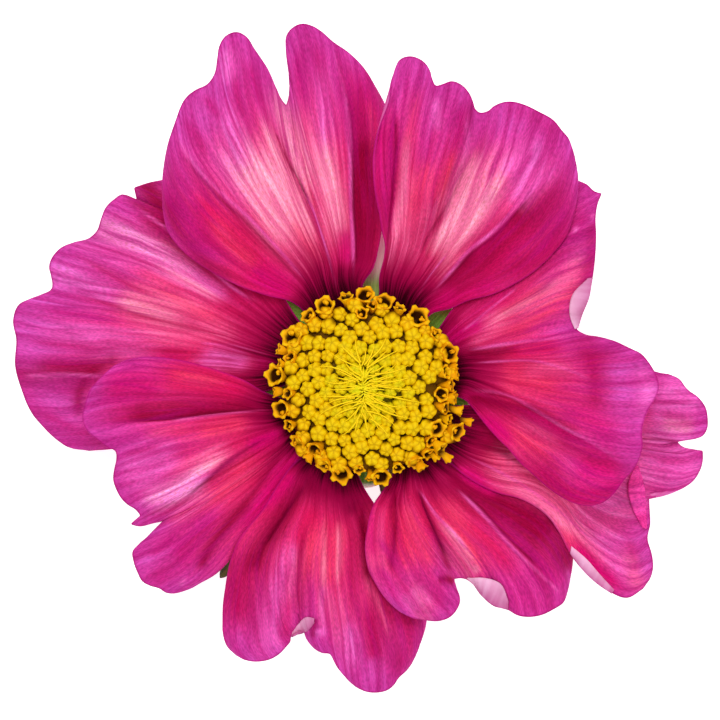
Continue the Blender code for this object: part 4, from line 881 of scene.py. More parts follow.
def petal_heights(petal, plan, seed):
    """The height of every point of a petal's plan, before it is laid over its neighbours."""
    out, across = PETAL_OUT[:, None], PETAL_ACROSS[None]
    knots = np.linspace(0, 1, len(petal["arch"]))
    arch = blur_line(np.interp(PETAL_OUT, knots, petal["arch"]), ARCH_SOFTNESS)
    height = arch[:, None] + out**RIB_GROWTH * rib_profile(petal, plan)[None]
    for rise, width, line in petal["folds"]:
        gap, share, _ = line_distance(plan, line)
        height += rise * np.exp(-gap / width) * fade_ends(share, FOLD_FADE)
    rng = np.random.default_rng(seed)
    for _ in range(RIPPLES):
        waves = rng.uniform(5, 26)
        slope = rng.uniform(-1.5, 1.5)
        ripple = np.sin(2 * math.pi * (waves * across + slope * out) + rng.uniform(0, 6))
        height += 0.5 / waves * ripple * out
    height += 0.35 * out**8 * np.sin(across * 41 + rng.uniform(0, 6))
    height -= PETAL_ROOT_SINK * np.exp(-out * 14)
    return height


def linear_tone(tone):
    return np.array(srgb(*tone)[:3])


def tone_fields(petal, plan):
    """A petal's tones at its streaks and between them, laid down stroke by stroke: its own
    colours, painted shade and painted highlights.
    """
    along = PETAL_OUT[:, None] + np.zeros((1, PETAL_COLUMNS))
    tones = np.array([linear_tone(tone) for tone in BASE_TONES])
    full = np.dstack([np.interp(along, BASE_STOPS, tones[:, k]) for k in range(3)])
    thin = full.copy()
    for kind, strength, width, line in petal["tints"]:
        tone, rest = TONES[kind]
        tone = linear_tone(tone)
        gap, share, left = line_distance(plan, line)
        left_width, right_width = width if isinstance(width, tuple) else (width, width)
        stroke = np.exp(-((gap / np.where(left, left_width, right_width)) ** 2))
        stroke *= fade_ends(share, SHARP_FADE if kind in SHARP_KINDS else SOFT_FADE)
        stroke = np.clip(strength * stroke * 1.1, 0, 1)
        full += stroke[..., None] * (tone - full)
        thin += stroke[..., None] * rest * (tone - thin)
        if kind == "magenta":
            along = along + THROAT_PUSH * stroke * (along < THROAT)
    return {"tone": full, "tone_between": thin, "along": along}


def flap_fields(number, length, pale):
    """A flap's tones and veins. A pale one is painted darker towards its turn, as shade under
    the curl, and darkens towards one end.
    """
    over = np.linspace(0, 1, FLAP_ROWS)[:, None] + np.zeros((1, FLAP_COLUMNS))
    along = np.linspace(0, 1, FLAP_COLUMNS)[None] + np.zeros((FLAP_ROWS, 1))
    tone = linear_tone((244, 70, 164)) + np.zeros((*over.shape, 1))
    if pale:
        # The turn's dark tone is painted shade under the curl.
        turn, edge, end = map(linear_tone, ((140, 24, 90), (255, 226, 244), (150, 0, 84)))
        tone = turn + over[..., None] * (edge - turn)
        tone = tone + (0.85 * along**2)[..., None] * (end - tone)
    return {
        "tone": tone,
        "tone_between": tone,
        "along": 0.86 + 0.1 * over,
        "vein_across": along * 5 + VEIN_SPACING * (number + 0.5),
        "vein_out": length + over * 2,
        "margin": np.minimum((1 - over) * 2 + 0.05, 3),
    }


def put_values(mesh, name, values):
    """Gives a mesh a named number, or a named triple, for each of its points."""
    values = np.asarray(values, np.float32)
    triple = values.ndim == 2 and values.shape[1] == 3
    kind, slot = ("FLOAT_VECTOR", "vector") if triple else ("FLOAT", "value")
    mesh.attributes.new(name, kind, "POINT").data.foreach_set(slot, values.reshape(-1))


def put_in_scene(name, mesh):
    piece = bpy.data.objects.new(name, mesh)
    bpy.context.scene.collection.objects.link(piece)
    return piece


def closed_blades(name, parts):
    """One piece from thin closed bodies round grids of points in millimetres. Each part is
    (grid, half thickness, fields, 1 where its upper side has the underside's colour)."""
    points, faces, start = [], [], 0
    values = {field: [] for field in parts[0][2]}
    under = []
    for grid, half_thickness, fields, pale in parts:
        rows, columns = grid.shape[:2]
        offset = grid_normals(grid) * np.broadcast_to(half_thickness, (rows, columns))[..., None]
        points += [(grid + offset).reshape(-1, 3), (grid - offset).reshape(-1, 3)]
        half = rows * columns
        quads = np.array(grid_quads(rows, columns))
        index = np.arange(half).reshape(rows, columns)
        loop = [index[:, 0], index[-1, 1:], index[-2::-1, -1], index[0, -2:0:-1]]
        loop = np.concatenate(loop)
        after = np.roll(loop, -1)
        rim = np.stack([after, loop, loop + half, after + half], axis=1)
        faces.append(np.concatenate([quads, quads[:, ::-1] + half, rim]) + start)
        for field in values:
            run = fields[field].reshape(half, -1)
            values[field].append(np.concatenate([run, run]))
        inward = np.clip((fields["margin"].reshape(-1) - 0.15) / 0.3, 0, 1)
        under.append(np.concatenate([np.full(half, pale), (1 - pale) * inward]))
        start += 2 * half
    mesh = bpy.data.meshes.new(name)
    points = np.concatenate(points) * MM + FOOT
    mesh.from_pydata(points.tolist(), [], np.concatenate(faces).tolist())
    mesh.shade_smooth()
    values["underside"] = under
    for field, runs in values.items():
        put_values(mesh, field, np.concatenate(runs))
    return put_in_scene(name, mesh)


def build_petals(material):
    trees = {}
    out, across = PETAL_OUT[:, None], PETAL_ACROSS[None]
    for number, (node, petal) in enumerate(PETALS.items()):
        plan = petal_plan(petal)
        grid = np.dstack([plan, petal_heights(petal, plan, number)])
        if petal["over"]:
            grid = lay_over(grid, [trees[other] for other in petal["over"]])
        fields = tone_fields(petal, plan)
        trees[node] = surface_tree(grid)
        length = np.linalg.norm(np.diff(grid, axis=0), axis=2).sum(axis=0)[None]
        width = np.linalg.norm(np.diff(grid, axis=1), axis=2).sum(axis=1)[:, None]
        median_length = float(np.median(length))
        margin = np.minimum((1 - out) * length, np.minimum(across, 1 - across) * width)
        fields["vein_across"] = across * float(width.max()) + 0 * out + VEIN_SPACING * number
        fields["vein_out"] = out * median_length + 0 * across
        fields["margin"] = margin
        thickness = PETAL_HALF_THICKNESS * np.clip(0.35 + margin / 0.5, 0, 1)
        parts = [(grid, thickness, fields, 0)]
        for turn, free, rise, pale in petal["flaps"]:
            flap = flap_grid(turn, free, rise, trees[node])
            fields = flap_fields(number, median_length, pale)
            parts.append((flap, FLAP_HALF_THICKNESS, fields, pale))
        piece = closed_blades(node.replace("petal_", "ray_") + "_petal", parts)
        piece.data.materials.append(material)
        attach(piece, "root")
        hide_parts(node)


# --- Wiring for materials and node trees --------------------------------------------------


def srgb(red, green, blue):
    """A colour given as it looks on a screen, 0 to 255, as the linear colour that nodes take."""
    linear = []
    for value in (red, green, blue):
        share = value / 255
        linear.append(share / 12.92 if share <= 0.04045 else ((share + 0.055) / 1.055) ** 2.4)
    return (*linear, 1.0)


def wire(tree, kind, feeds=(), **settings):
    """Adds a node. Each feed joins a socket, by name or place, to a value or to an output."""
    node = tree.nodes.new(kind)
    for setting, value in settings.items():
        setattr(node, setting, value)
    for socket, value in dict(feeds).items():
        if isinstance(value, bpy.types.NodeSocket):
            tree.links.new(value, node.inputs[socket])
        else:
            node.inputs[socket].default_value = value
    return node


def first(tree, kind, feeds=(), **settings):
    return wire(tree, kind, feeds, **settings).outputs[0]


def calc(tree, operation, *values):
    return first(tree, "ShaderNodeMath", enumerate(values), operation=operation)


def plus(tree, *values):
    return calc(tree, "ADD", *values)


def minus(tree, *values):
    return calc(tree, "SUBTRACT", *values)


def times(tree, *values):
    return calc(tree, "MULTIPLY", *values)


def ramp(tree, value, low, high, low_out=0.0, high_out=1.0):
    labels = ("Value", "From Min", "From Max", "To Min", "To Max")
    feeds = zip(labels, (value, low, high, low_out, high_out))
    return first(tree, "ShaderNodeMapRange", feeds, interpolation_type="SMOOTHSTEP")


def mix(tree, share, start, end, mode="MIX"):
    feeds = {0: share, 6: start, 7: end}
    return wire(tree, "ShaderNodeMix", feeds, data_type="RGBA", blend_type=mode).outputs[2]


def multiply(tree, colour, by):
    return mix(tree, 1.0, colour, by, "MULTIPLY")


def field(tree, name, output="Fac"):
    return wire(tree, "ShaderNodeAttribute", attribute_name=name).outputs[output]


def noise(tree, vector, scale, detail=2.0, roughness=0.5):
    feeds = {"Vector": vector, "Scale": scale, "Detail": detail, "Roughness": roughness}
    return first(tree, "ShaderNodeTexNoise", feeds)


def combine(tree, x, y, z):
    return first(tree, "ShaderNodeCombineXYZ", {0: x, 1: y, 2: z})


def uniform(tree, value):
    return combine(tree, value, value, value)


def object_place(tree):
    return wire(tree, "ShaderNodeTexCoord").outputs["Object"]


NUMBER, WHOLE = "NodeSocketFloat", "NodeSocketInt"
OBJECT, MATERIAL = "NodeSocketObject", "NodeSocketMaterial"


def new_group(name, kind, inputs, outputs):
    """A node group with its sockets, and its input and output nodes."""
    tree = bpy.data.node_groups.new(name, kind)
    for label, socket_type, value in inputs:
        socket = tree.interface.new_socket(label, in_out="INPUT", socket_type=socket_type)
        if value is not None:
            socket.default_value = value
    for label, socket_type in outputs:
        tree.interface.new_socket(label, in_out="OUTPUT", socket_type=socket_type)
    return tree, tree.nodes.new("NodeGroupInput").outputs, tree.nodes.new("NodeGroupOutput").inputs


def vein_group():
    """Streaks and branching veins that run out along a petal or a bract."""
    tree, given, result = new_group(
        "vein streaks", "ShaderNodeTree",
        [("Across", NUMBER, 0.0), ("Out", NUMBER, 0.0), ("Waver", NUMBER, 0.5)],
        [(label, NUMBER) for label in ("Fine", "Soft", "Broad", "Line", "Grain")],
    )
    across, out, waver = given["Across"], given["Out"], given["Waver"]

    def stretched(wide, long, layer):
        return combine(tree, times(tree, bent, wide), times(tree, out, long), layer)

    bent = across
    drift = noise(tree, stretched(0.35, 0.12, 3.0), 1.0)
    bent = plus(tree, across, times(tree, minus(tree, drift, 0.5), waver))
    cells = {"Vector": stretched(0.95, 0.085, 2.0), "Scale": 1.0}
    cells = wire(tree, "ShaderNodeTexVoronoi", cells, feature="DISTANCE_TO_EDGE")
    made = {
        "Fine": noise(tree, stretched(1.0, 0.06, 0.0), 3.6, 2.0, 0.55),
        "Soft": noise(tree, stretched(1.0, 0.09, 5.0), 1.25, 1.5, 0.5),
        "Broad": noise(tree, stretched(1.0, 0.3, 7.0), 0.42, 1.0),
        "Line": ramp(tree, cells.outputs["Distance"], 0.0, 0.2, 1.0, 0.0),
        "Grain": noise(tree, stretched(1.0, 0.3, 9.0), 8.0, 1.0),
    }
    for label, value in made.items():
        tree.links.new(value, result[label])
    return tree


def skin_group():
    """The tiny cells of plant skin, as a height and as a small change of shade."""
    tree, given, result = new_group(
        "plant skin", "ShaderNodeTree", [("Cells", NUMBER, 5000.0)],
        [("Height", NUMBER), ("Shade", NUMBER)],
    )
    place = object_place(tree)
    cells = wire(tree, "ShaderNodeTexVoronoi", {"Vector": place, "Scale": given["Cells"]})
    tree.links.new(cells.outputs["Distance"], result["Height"])
    shade = noise(tree, place, times(tree, given["Cells"], 0.12), 3.0)
    tree.links.new(shade, result["Shade"])
    return tree


VEINS = vein_group()
SKIN = skin_group()


def new_material(name, roughness, specular):
    material = bpy.data.materials.new(name)
    material.use_nodes = True
    shader = material.node_tree.nodes["Principled BSDF"]
    shader.inputs["Roughness"].default_value = roughness
    shader.inputs["Specular IOR Level"].default_value = specular
    return material, material.node_tree, shader


def place_group(tree, group, **feeds):
    return wire(tree, "ShaderNodeGroup", feeds, node_tree=group).outputs


def place_veins(tree, waver):
    across, out = field(tree, "vein_across"), field(tree, "vein_out")
    return place_group(tree, VEINS, Across=across, Out=out, Waver=waver)


def raise_bumps(tree, shader, height, distance, strength):
    feeds = {"Height": height, "Distance": distance, "Strength": strength}
    tree.links.new(first(tree, "ShaderNodeBump", feeds), shader.inputs["Normal"])


def petal_material():
    material, tree, shader = new_material("magenta petal", 0.55, 0.02)
    along, margin = field(tree, "along"), field(tree, "margin")
    veins = place_veins(tree, 1.6)
    fine, soft, broad = veins["Fine"], veins["Soft"], veins["Broad"]
    line, grain = veins["Line"], veins["Grain"]
    skin = place_group(tree, SKIN, Cells=6500.0)

    def streaked(value, amount, by):
        return plus(tree, value, times(tree, minus(tree, by, 0.5), amount))

    def toward(value, low, high, tone, most=1.0):
        return mix(tree, ramp(tree, value, low, high, 0.0, most), colour, tone)

    # The painted tones, patchy, with darker veins between the streaks.
    ragged = streaked(streaked(along, 0.12, fine), 0.22, soft)
    tone, between = field(tree, "tone", "Vector"), field(tree, "tone_between", "Vector")
    colour = mix(tree, ramp(tree, streaked(soft, 0.8, fine), 0.34, 0.64), between, tone)
    patchy = streaked(soft, 0.6, broad)
    lighter = multiply(tree, colour, (1.16, 1.9, 1.5, 1))
    darker = multiply(tree, colour, (0.72, 0.3, 0.55, 1))
    colour = toward(patchy, 0.5, 0.72, lighter, 0.6)
    colour = toward(patchy, 0.5, 0.28, darker, 0.6)
    dark_line = times(tree, line, ramp(tree, along, 0.3, 0.75, 0.04, 0.5))
    dark_line = times(tree, dark_line, ramp(tree, broad, 0.35, 0.6, 0.3, 1.0))
    colour = mix(tree, dark_line, colour, srgb(158, 10, 104))

    # Warm flecks where it is bright, a fine grain, and the dark throat and rim.
    bright = wire(tree, "ShaderNodeSeparateColor", {0: colour}).outputs[1]
    flecks = times(tree, ramp(tree, grain, 0.45, 0.7, 0.0, 0.4), ramp(tree, bright, 0.07, 0.25))
    colour = mix(tree, flecks, colour, srgb(246, 128, 112))
    colour = multiply(tree, colour, uniform(tree, ramp(tree, grain, 0.25, 0.75, 1.2, 0.8)))
    colour = toward(ragged, 0.36, 0.13, srgb(150, 2, 62), 0.92)
    colour = toward(ragged, 0.2, 0.05, srgb(52, 0, 18))
    colour = toward(margin, 0.24, 0.05, srgb(172, 14, 110), 0.6)

    # The paler underside, which shows on some of the turned-over margins.
    back = mix(tree, ramp(tree, soft, 0.35, 0.65), srgb(216, 106, 170), srgb(230, 146, 198))
    back = mix(tree, times(tree, line, 0.3), back, srgb(200, 80, 150))
    back = mix(tree, ramp(tree, ragged, 0.3, 0.05), back, srgb(150, 30, 80))
    back = mix(tree, 0.45, back, tone)
    colour = mix(tree, field(tree, "underside"), colour, back)
    colour = toward(skin["Shade"], 0.35, 0.75, multiply(tree, colour, (1.2, 1.2, 1.2, 1)), 0.35)
    tree.links.new(colour, shader.inputs["Base Color"])
    height = plus(tree, times(tree, fine, 0.4), times(tree, line, -0.15))
    height = plus(tree, height, plus(tree, soft, times(tree, skin["Height"], 0.1)))
    raise_bumps(tree, shader, height, 0.00022, 0.6)
    tree.links.new(ramp(tree, soft, 0.3, 0.7, 0.48, 0.62), shader.inputs["Roughness"])
    return material


def floret_material(name, green, golden, orange, dark):
    """The skin of the disc's florets: greener in the middle, with painted shade low down and in
    the folds, and painted highlights on the crests of the lobes.
    """
    material, tree, shader = new_material(name, 0.55, 0.07)
    ripe = field(tree, "ripeness")
    skin = place_group(tree, SKIN, Cells=5200.0)
    colour = mix(tree, ramp(tree, ripe, 0.16, 0.62), green, golden)
    colour = mix(tree, ramp(tree, ripe, 0.72, 1.0), colour, orange)
    colour = mix(tree, ramp(tree, skin["Shade"], 0.35, 0.7, 0.0, 0.3), colour, orange)
    # Painted highlights on the crests of the lobes, and painted shade low down and in the folds.
    lobe_highlight = ramp(tree, field(tree, "lobe_highlight"), 0.4, 1.0, 0.0, 0.55)
    colour = mix(tree, lobe_highlight, colour, srgb(244, 214, 18))
    dark = mix(tree, ramp(tree, ripe, 0.2, 0.6), srgb(150, 138, 6), dark)
    colour = mix(tree, ramp(tree, field(tree, "recess_shade"), 0.18, 0.85), colour, dark)
    tree.links.new(colour, shader.inputs["Base Color"])
    raise_bumps(tree, shader, skin["Height"], 0.00005, 0.4)
    return material


def leaf_material(name, face, vein, rim, rim_width, dry_from=99.0):
    """A green bract: veins along it, a thin dry margin, and dry from some way along it."""
    material, tree, shader = new_material(name, 0.55, 0.35)
    veins = place_veins(tree, 0.4)
    skin = place_group(tree, SKIN, Cells=5200.0)
    colour = mix(tree, ramp(tree, veins["Fine"], 0.35, 0.65), face, vein)
    colour = mix(tree, ramp(tree, skin["Shade"], 0.35, 0.7, 0.0, 0.35), colour, vein)
    edge = ramp(tree, field(tree, "margin"), rim_width, rim_width * 0.3)
    colour = mix(tree, edge, colour, rim)
    dry = ramp(tree, field(tree, "vein_out"), dry_from, dry_from + 1.6, 0.0, 0.9)
    colour = mix(tree, dry, colour, rim)
    tree.links.new(colour, shader.inputs["Base Color"])
    height = plus(tree, veins["Fine"], times(tree, skin["Height"], 0.3))
    raise_bumps(tree, shader, height, 0.00012, 0.6)
    return material


def stem_material():
    material, tree, shader = new_material("green stem", 0.5, 0.35)
    skin = place_group(tree, SKIN, Cells=4200.0)
    feeds = {"Vector": object_place(tree), "Scale": (1, 1, 0.12)}
    streak = noise(tree, first(tree, "ShaderNodeMapping", feeds), 2600.0, 3.0)
    colour = mix(tree, ramp(tree, streak, 0.35, 0.65), srgb(74, 112, 34), srgb(126, 158, 62))
    colour = mix(tree, field(tree, "cut"), colour, srgb(206, 214, 150))
    colour = mix(tree, ramp(tree, skin["Shade"], 0.4, 0.7, 0.0, 0.3), colour, srgb(92, 70, 40))
    tree.links.new(colour, shader.inputs["Base Color"])
    raise_bumps(tree, shader, skin["Height"], 0.00006, 0.5)
    return material


# --- The disc -----------------------------------------------------------------------------

BUD_COUNT = 152
BUD_FIELD_RADIUS = 9.1
BUD_CROWDING = 0.56
BUD_WIDTH = 1.64
CROWN_HEIGHT = 15.9  # in the middle, and CROWN_FALL lower for each square millimetre outward
CROWN_FALL = 0.026
BUD_SIDES = 15
FLORET_SIDES = 20
STYLE_SIDES = 9
FLORET_RING_RADIUS = 8.8
FLORET_RISE = 0.25
FLOOR_RINGS = 14
FLOOR_SIDES = 48
FLOOR_RADIUS = 8.3
FLOOR_DEPTH = 0.9

# Each open floret: where its mouth is, its radius, and how far it leans out, in degrees. One
# that leans out further than STEEP also sits lower.
OPEN_FLORETS = (
    (-4.3, 8.3, 1.15, 32), (-2.2, 9.2, 0.85, 60), (-0.3, 9.4, 1.05, 28), (1.6, 8.7, 1.1, 32),
    (3.2, 8.1, 0.7, 52), (5, 7.2, 1.3, 28), (-6, 7.3, 0.9, 48), (-7.6, 5.2, 1.3, 32),
    (-7.8, 3.1, 0.8, 48), (-9.3, 1.4, 1.2, 36), (-8, -0.4, 0.7, 48), (-8.7, -2, 1.1, 36),
    (-7.9, -3.7, 0.75, 52), (-7, -5.4, 1, 56), (-5.3, -6.1, 0.95, 44), (-6.1, -7, 0.6, 80),
    (-4.4, -7.6, 0.9, 56), (-2.7, -8.5, 1.2, 36), (-0.9, -8, 0.7, 36), (1.3, -8.8, 1.15, 36),
    (3, -7.9, 0.7, 40), (8.1, 3.6, 1.2, 36), (6.8, 5.4, 0.85, 48), (7.8, 1.7, 0.8, 48),
    (8.3, 0.4, 0.75, 68), (7.3, -0.5, 0.85, 28), (8.6, -0.9, 0.8, 80), (7.7, -1.9, 0.8, 60),
    (9.3, -2.2, 0.7, 92), (10.1, -3.3, 0.55, 124), (6.9, -3.9, 1.05, 28), (8.1, -3.1, 0.6, 68),
    (8.9, -4.3, 1.05, 48), (6.3, -5.2, 0.7, 40), (7.3, -5.9, 0.85, 68), (6, -6.5, 0.8, 56),
    (8, -7, 0.6, 120), (4.7, -7.3, 0.9, 56), (5.4, -7.9, 0.6, 88), (6.9, -7, 0.55, 88),
    (-0.6, 7.6, 0.75, 20), (-9.3, -0.3, 0.6, 80), (-8.9, 4, 0.6, 80), (0.4, 8.3, 0.6, 40),
    (-8.8, 2.6, 0.55, 68), (8.9, 1.4, 0.6, 88), (8.8, 2.4, 0.5, 88), (-3.4, -8.2, 0.55, 80),
    (0.2, -8.9, 0.55, 68),
)
STEEP = 60


def crown_height(radius):
    return CROWN_HEIGHT - CROWN_FALL * radius**2


def ring_shape(name, rings, sides, lobes, cap):
    """A closed body of stacked rings. Each ring is (height, radius, notch, groove, highlight,
    shade), and the cap over the last one is (height, highlight, shade). Both are painted: the
    highlight on the crests of the lobes, the shade low down and in the notches and grooves."""
    points, lobe_highlight, recess_shade = [], [], []
    for height, radius, notch, groove, ring_highlight, ring_shade in rings:
        for side in range(sides):
            turn = 2 * math.pi * (side + 0.5) / sides
            valley = 0.5 - 0.5 * math.cos(lobes * turn)
            reach = radius * (1 - notch * valley)
            height_here = height - groove * valley
            points.append((reach * math.cos(turn), reach * math.sin(turn), height_here))
            lobe_highlight.append(ring_highlight * (1 - valley))
            recess_shade.append(min(1, ring_shade + (notch * 1.3 + groove * 1.2) * valley))
    faces = []
    for ring in range(len(rings) - 1):
        for side in range(sides):
            there = (side + 1) % sides
            low, high = ring * sides, (ring + 1) * sides
            faces.append((low + side, low + there, high + there, high + side))
    faces.append(tuple(range(sides))[::-1])
    last = (len(rings) - 1) * sides
    top = len(points)
    points.append((0, 0, cap[0]))
    lobe_highlight.append(cap[1])
    recess_shade.append(cap[2])
    faces += [(last + side, last + (side + 1) % sides, top) for side in range(sides)]
    mesh = bpy.data.meshes.new(name)
    mesh.from_pydata(points, [], faces)
    mesh.shade_smooth()
    put_values(mesh, "lobe_highlight", lobe_highlight)
    put_values(mesh, "recess_shade", recess_shade)
    return put_in_scene(name, mesh)


def bud_pattern():
    rings = (
        (-1.1, 0.32, 0, 0, 0, 1), (-0.16, 0.52, 0.12, 0, 0, 0.5), (0.17, 0.44, 0.2, 0.06, 1, 0),
        (0.31, 0.21, 0.22, 0.1, 0.9, 0),
    )
    return ring_shape("bud pattern", rings, BUD_SIDES, 5, (0.2, 0, 0.5))


def open_pattern():
    rings = (
        (-1.9, 0.36, 0, 0, 0, 0.7), (-0.8, 0.56, 0, 0, 0, 0.3), (-0.3, 0.76, 0.05, 0, 0.2, 0.05),
        (0, 0.9, 0.14, 0.06, 0.6, 0), (0.18, 1.02, 0.24, 0.16, 0.8, 0),
        (0.27, 0.92, 0.2, 0.2, 1, 0), (0.2, 0.74, 0.1, 0.12, 0.8, 0),
        (-0.02, 0.58, 0.05, 0, 0, 0.5), (-0.4, 0.47, 0, 0, 0, 1), (-1, 0.36, 0, 0, 0, 1),
    )
    return ring_shape("open floret pattern", rings, FLORET_SIDES, 5, (-1.05, 0, 1))


def knob_pattern():
    """The style that stands in an open floret's mouth, split at its tip."""
    rings = (
        (-1, 0.12, 0, 0, 0, 1), (-0.4, 0.14, 0, 0, 0, 0.9), (-0.1, 0.2, 0.1, 0, 0.3, 0.5),
        (0.1, 0.26, 0.3, 0, 0.6, 0.1), (0.2, 0.18, 0.3, 0.04, 0.8, 0),
    )
    style = ring_shape("style pattern", rings, STYLE_SIDES, 3, (0.18, 0, 0.3))
    for vertex in style.data.vertices:
        vertex.co.x += 0.36 + 0.1 * vertex.co.z
    return style


def grow(name, tree, inputs, material):
    """Runs a node tree once and keeps what it makes as a plain mesh."""
    source = put_in_scene(name + " source", bpy.data.meshes.new(name + " source"))
    modifier = source.modifiers.new("grow", "NODES")
    modifier.node_group = tree
    items = tree.interface.items_tree
    sockets = {item.name: item.identifier for item in items if item.in_out == "INPUT"}
    for label, value in {**inputs, "Material": material}.items():
        modifier[sockets[label]] = value
    graph = bpy.context.evaluated_depsgraph_get()
    graph.update()
    grown = source.evaluated_get(graph)
    mesh = bpy.data.meshes.new_from_object(grown, preserve_all_data_layers=True, depsgraph=graph)
    mesh.name = name
    bpy.data.objects.remove(source)
    return put_in_scene(name, mesh)


def vector_math(tree, operation, feeds):
    return first(tree, "ShaderNodeVectorMath", feeds, operation=operation)


def settle_output(tree, geometry, material, result, ruffle=0.0):
    """From millimetres at the disc's axis to its place: realized, a little uneven, painted."""
    real = first(tree, "GeometryNodeRealizeInstances", {0: geometry})
    if ruffle:
        place = first(tree, "GeometryNodeInputPosition")
        feeds = {"Vector": place, "Scale": 1.15, "Detail": 2.0, "Roughness": 0.6}
        push = wire(tree, "ShaderNodeTexNoise", feeds).outputs["Color"]
        push = vector_math(tree, "SUBTRACT", {0: push, 1: (0.5, 0.5, 0.5)})
        push = vector_math(tree, "SCALE", {0: push, "Scale": ruffle})
        real = first(tree, "GeometryNodeSetPosition", {"Geometry": real, "Offset": push})
    feeds = {"Geometry": real, "Translation": FOOT, "Scale": (MM, MM, MM)}
    moved = first(tree, "GeometryNodeTransform", feeds)
    smooth = first(tree, "GeometryNodeSetShadeSmooth", {0: moved})
    painted = first(tree, "GeometryNodeSetMaterial", {"Geometry": smooth, "Material": material})
    tree.links.new(painted, result["Geometry"])


def spiral(tree, count, radius, crowding):
    """Points packed along a golden-angle spiral: the points, their radius and their turn."""
    points = first(tree, "GeometryNodePoints", {"Count": count})
    index = first(tree, "GeometryNodeInputIndex")
    share = calc(tree, "DIVIDE", plus(tree, index, 0.5), count)
    reach = times(tree, radius, calc(tree, "POWER", share, crowding))
    return points, index, reach, times(tree, index, GOLDEN_ANGLE)


def from_polar(tree, reach, turn):
    x = times(tree, reach, calc(tree, "COSINE", turn))
    return x, times(tree, reach, calc(tree, "SINE", turn))


def move_points(tree, points, x, y, z):
    feeds = {"Geometry": points, "Position": combine(tree, x, y, z)}
    return first(tree, "GeometryNodeSetPosition", feeds)


def mark_ripe(tree, points, ripe):
    feeds = {"Geometry": points, "Name": "ripeness", "Value": ripe}
    return first(tree, "GeometryNodeStoreNamedAttribute", feeds)


def shape_of(tree, pattern):
    return wire(tree, "GeometryNodeObjectInfo", {"Object": pattern}).outputs["Geometry"]


def copy_to(tree, points, shape, rotation, scale):
    feeds = {"Points": points, "Instance": shape, "Rotation": rotation, "Scale": scale}
    return first(tree, "GeometryNodeInstanceOnPoints", feeds)


def spin_each(tree, rotation, seed, index):
    """Adds a random turn of each copy about its own axis."""
    spin = combine(tree, 0.0, 0.0, random_between(tree, 0.0, 6.28, seed, index))
    feeds = {0: rotation, 1: spin}
    return first(tree, "FunctionNodeRotateRotation", feeds, rotation_space="LOCAL")


def random_between(tree, low, high, seed, index):
    feeds = {2: low, 3: high, "ID": index, "Seed": seed}
    return wire(tree, "FunctionNodeRandomValue", feeds, data_type="FLOAT").outputs[1]


def bud_tree():
    tree, given, result = new_group(
        "spiral of closed buds", "GeometryNodeTree",
        [("Bud", OBJECT, None), ("Florets", OBJECT, None), ("Count", WHOLE, BUD_COUNT),
         ("Radius", NUMBER, BUD_FIELD_RADIUS), ("Crowding", NUMBER, BUD_CROWDING),
         ("Width", NUMBER, BUD_WIDTH), ("Crown", NUMBER, CROWN_HEIGHT),
         ("Fall", NUMBER, CROWN_FALL), ("Seed", WHOLE, 4), ("Material", MATERIAL, None)],
        [("Geometry", "NodeSocketGeometry")],
    )
    points, index, reach, turn = spiral(tree, given["Count"], given["Radius"], given["Crowding"])

    def uneven(value, amount, seed):
        return plus(tree, value, random_between(tree, -amount, amount, seed, index))

    sway = random_between(tree, -0.16, 0.16, 21, index)
    turn = plus(tree, turn, calc(tree, "DIVIDE", sway, plus(tree, reach, 0.6)))
    reach = uneven(reach, 0.15, given["Seed"])
    x, y = from_polar(tree, reach, turn)
    sag = times(tree, given["Fall"], times(tree, reach, reach))
    z = uneven(minus(tree, given["Crown"], sag), 0.14, 11)
    share = calc(tree, "DIVIDE", reach, given["Radius"])
    marked = mark_ripe(tree, move_points(tree, points, x, y, z), uneven(share, 0.08, 5))
    near = {0: shape_of(tree, given["Florets"])}
    near = wire(tree, "GeometryNodeProximity", near, target_element="POINTS").outputs["Distance"]
    feeds = {"Geometry": marked, "Selection": calc(tree, "LESS_THAN", near, 0.7)}
    clear = first(tree, "GeometryNodeDeleteGeometry", feeds, domain="POINT")
    slope = times(tree, given["Fall"], 2.0)
    lean_x = uneven(times(tree, x, slope), 0.2, 31)
    lean_y = uneven(times(tree, y, slope), 0.2, 32)
    feeds = {"Vector": combine(tree, lean_x, lean_y, 1.0)}
    upright = first(tree, "FunctionNodeAlignRotationToVector", feeds, axis="Z")
    grown = times(tree, given["Width"], ramp(tree, share, 0.0, 0.5, 0.74, 1.0))
    size = times(tree, grown, random_between(tree, 0.9, 1.1, 7, index))
    turned = spin_each(tree, upright, 2, index)
    buds = copy_to(tree, clear, shape_of(tree, given["Bud"]), turned, uniform(tree, size))
    settle_output(tree, buds, given["Material"], result, 0.35)
    return tree


def floret_seats():
    """A point for each open floret, in millimetres, with its size and its turn."""
    points, turns, sizes, ripes = [], [], [], []
    rng = np.random.default_rng(3)
    for x, y, radius, lean in OPEN_FLORETS:
        height = crown_height(min(math.hypot(x, y), FLORET_RING_RADIUS)) + FLORET_RISE
        points.append((x, y, height - 0.006 * max(0, lean - STEEP)))
        turns.append(Quaternion((-y, x, 0), math.radians(lean)).to_euler())
        sizes.append(radius)
        ripes.append(rng.uniform(0.72, 1.0))
    mesh = bpy.data.meshes.new("floret seats")
    mesh.from_pydata(points, [], [])
    for name, values in (("turn", turns), ("size", sizes), ("ripe", ripes)):
        put_values(mesh, name, values)
    return put_in_scene("floret seats", mesh)


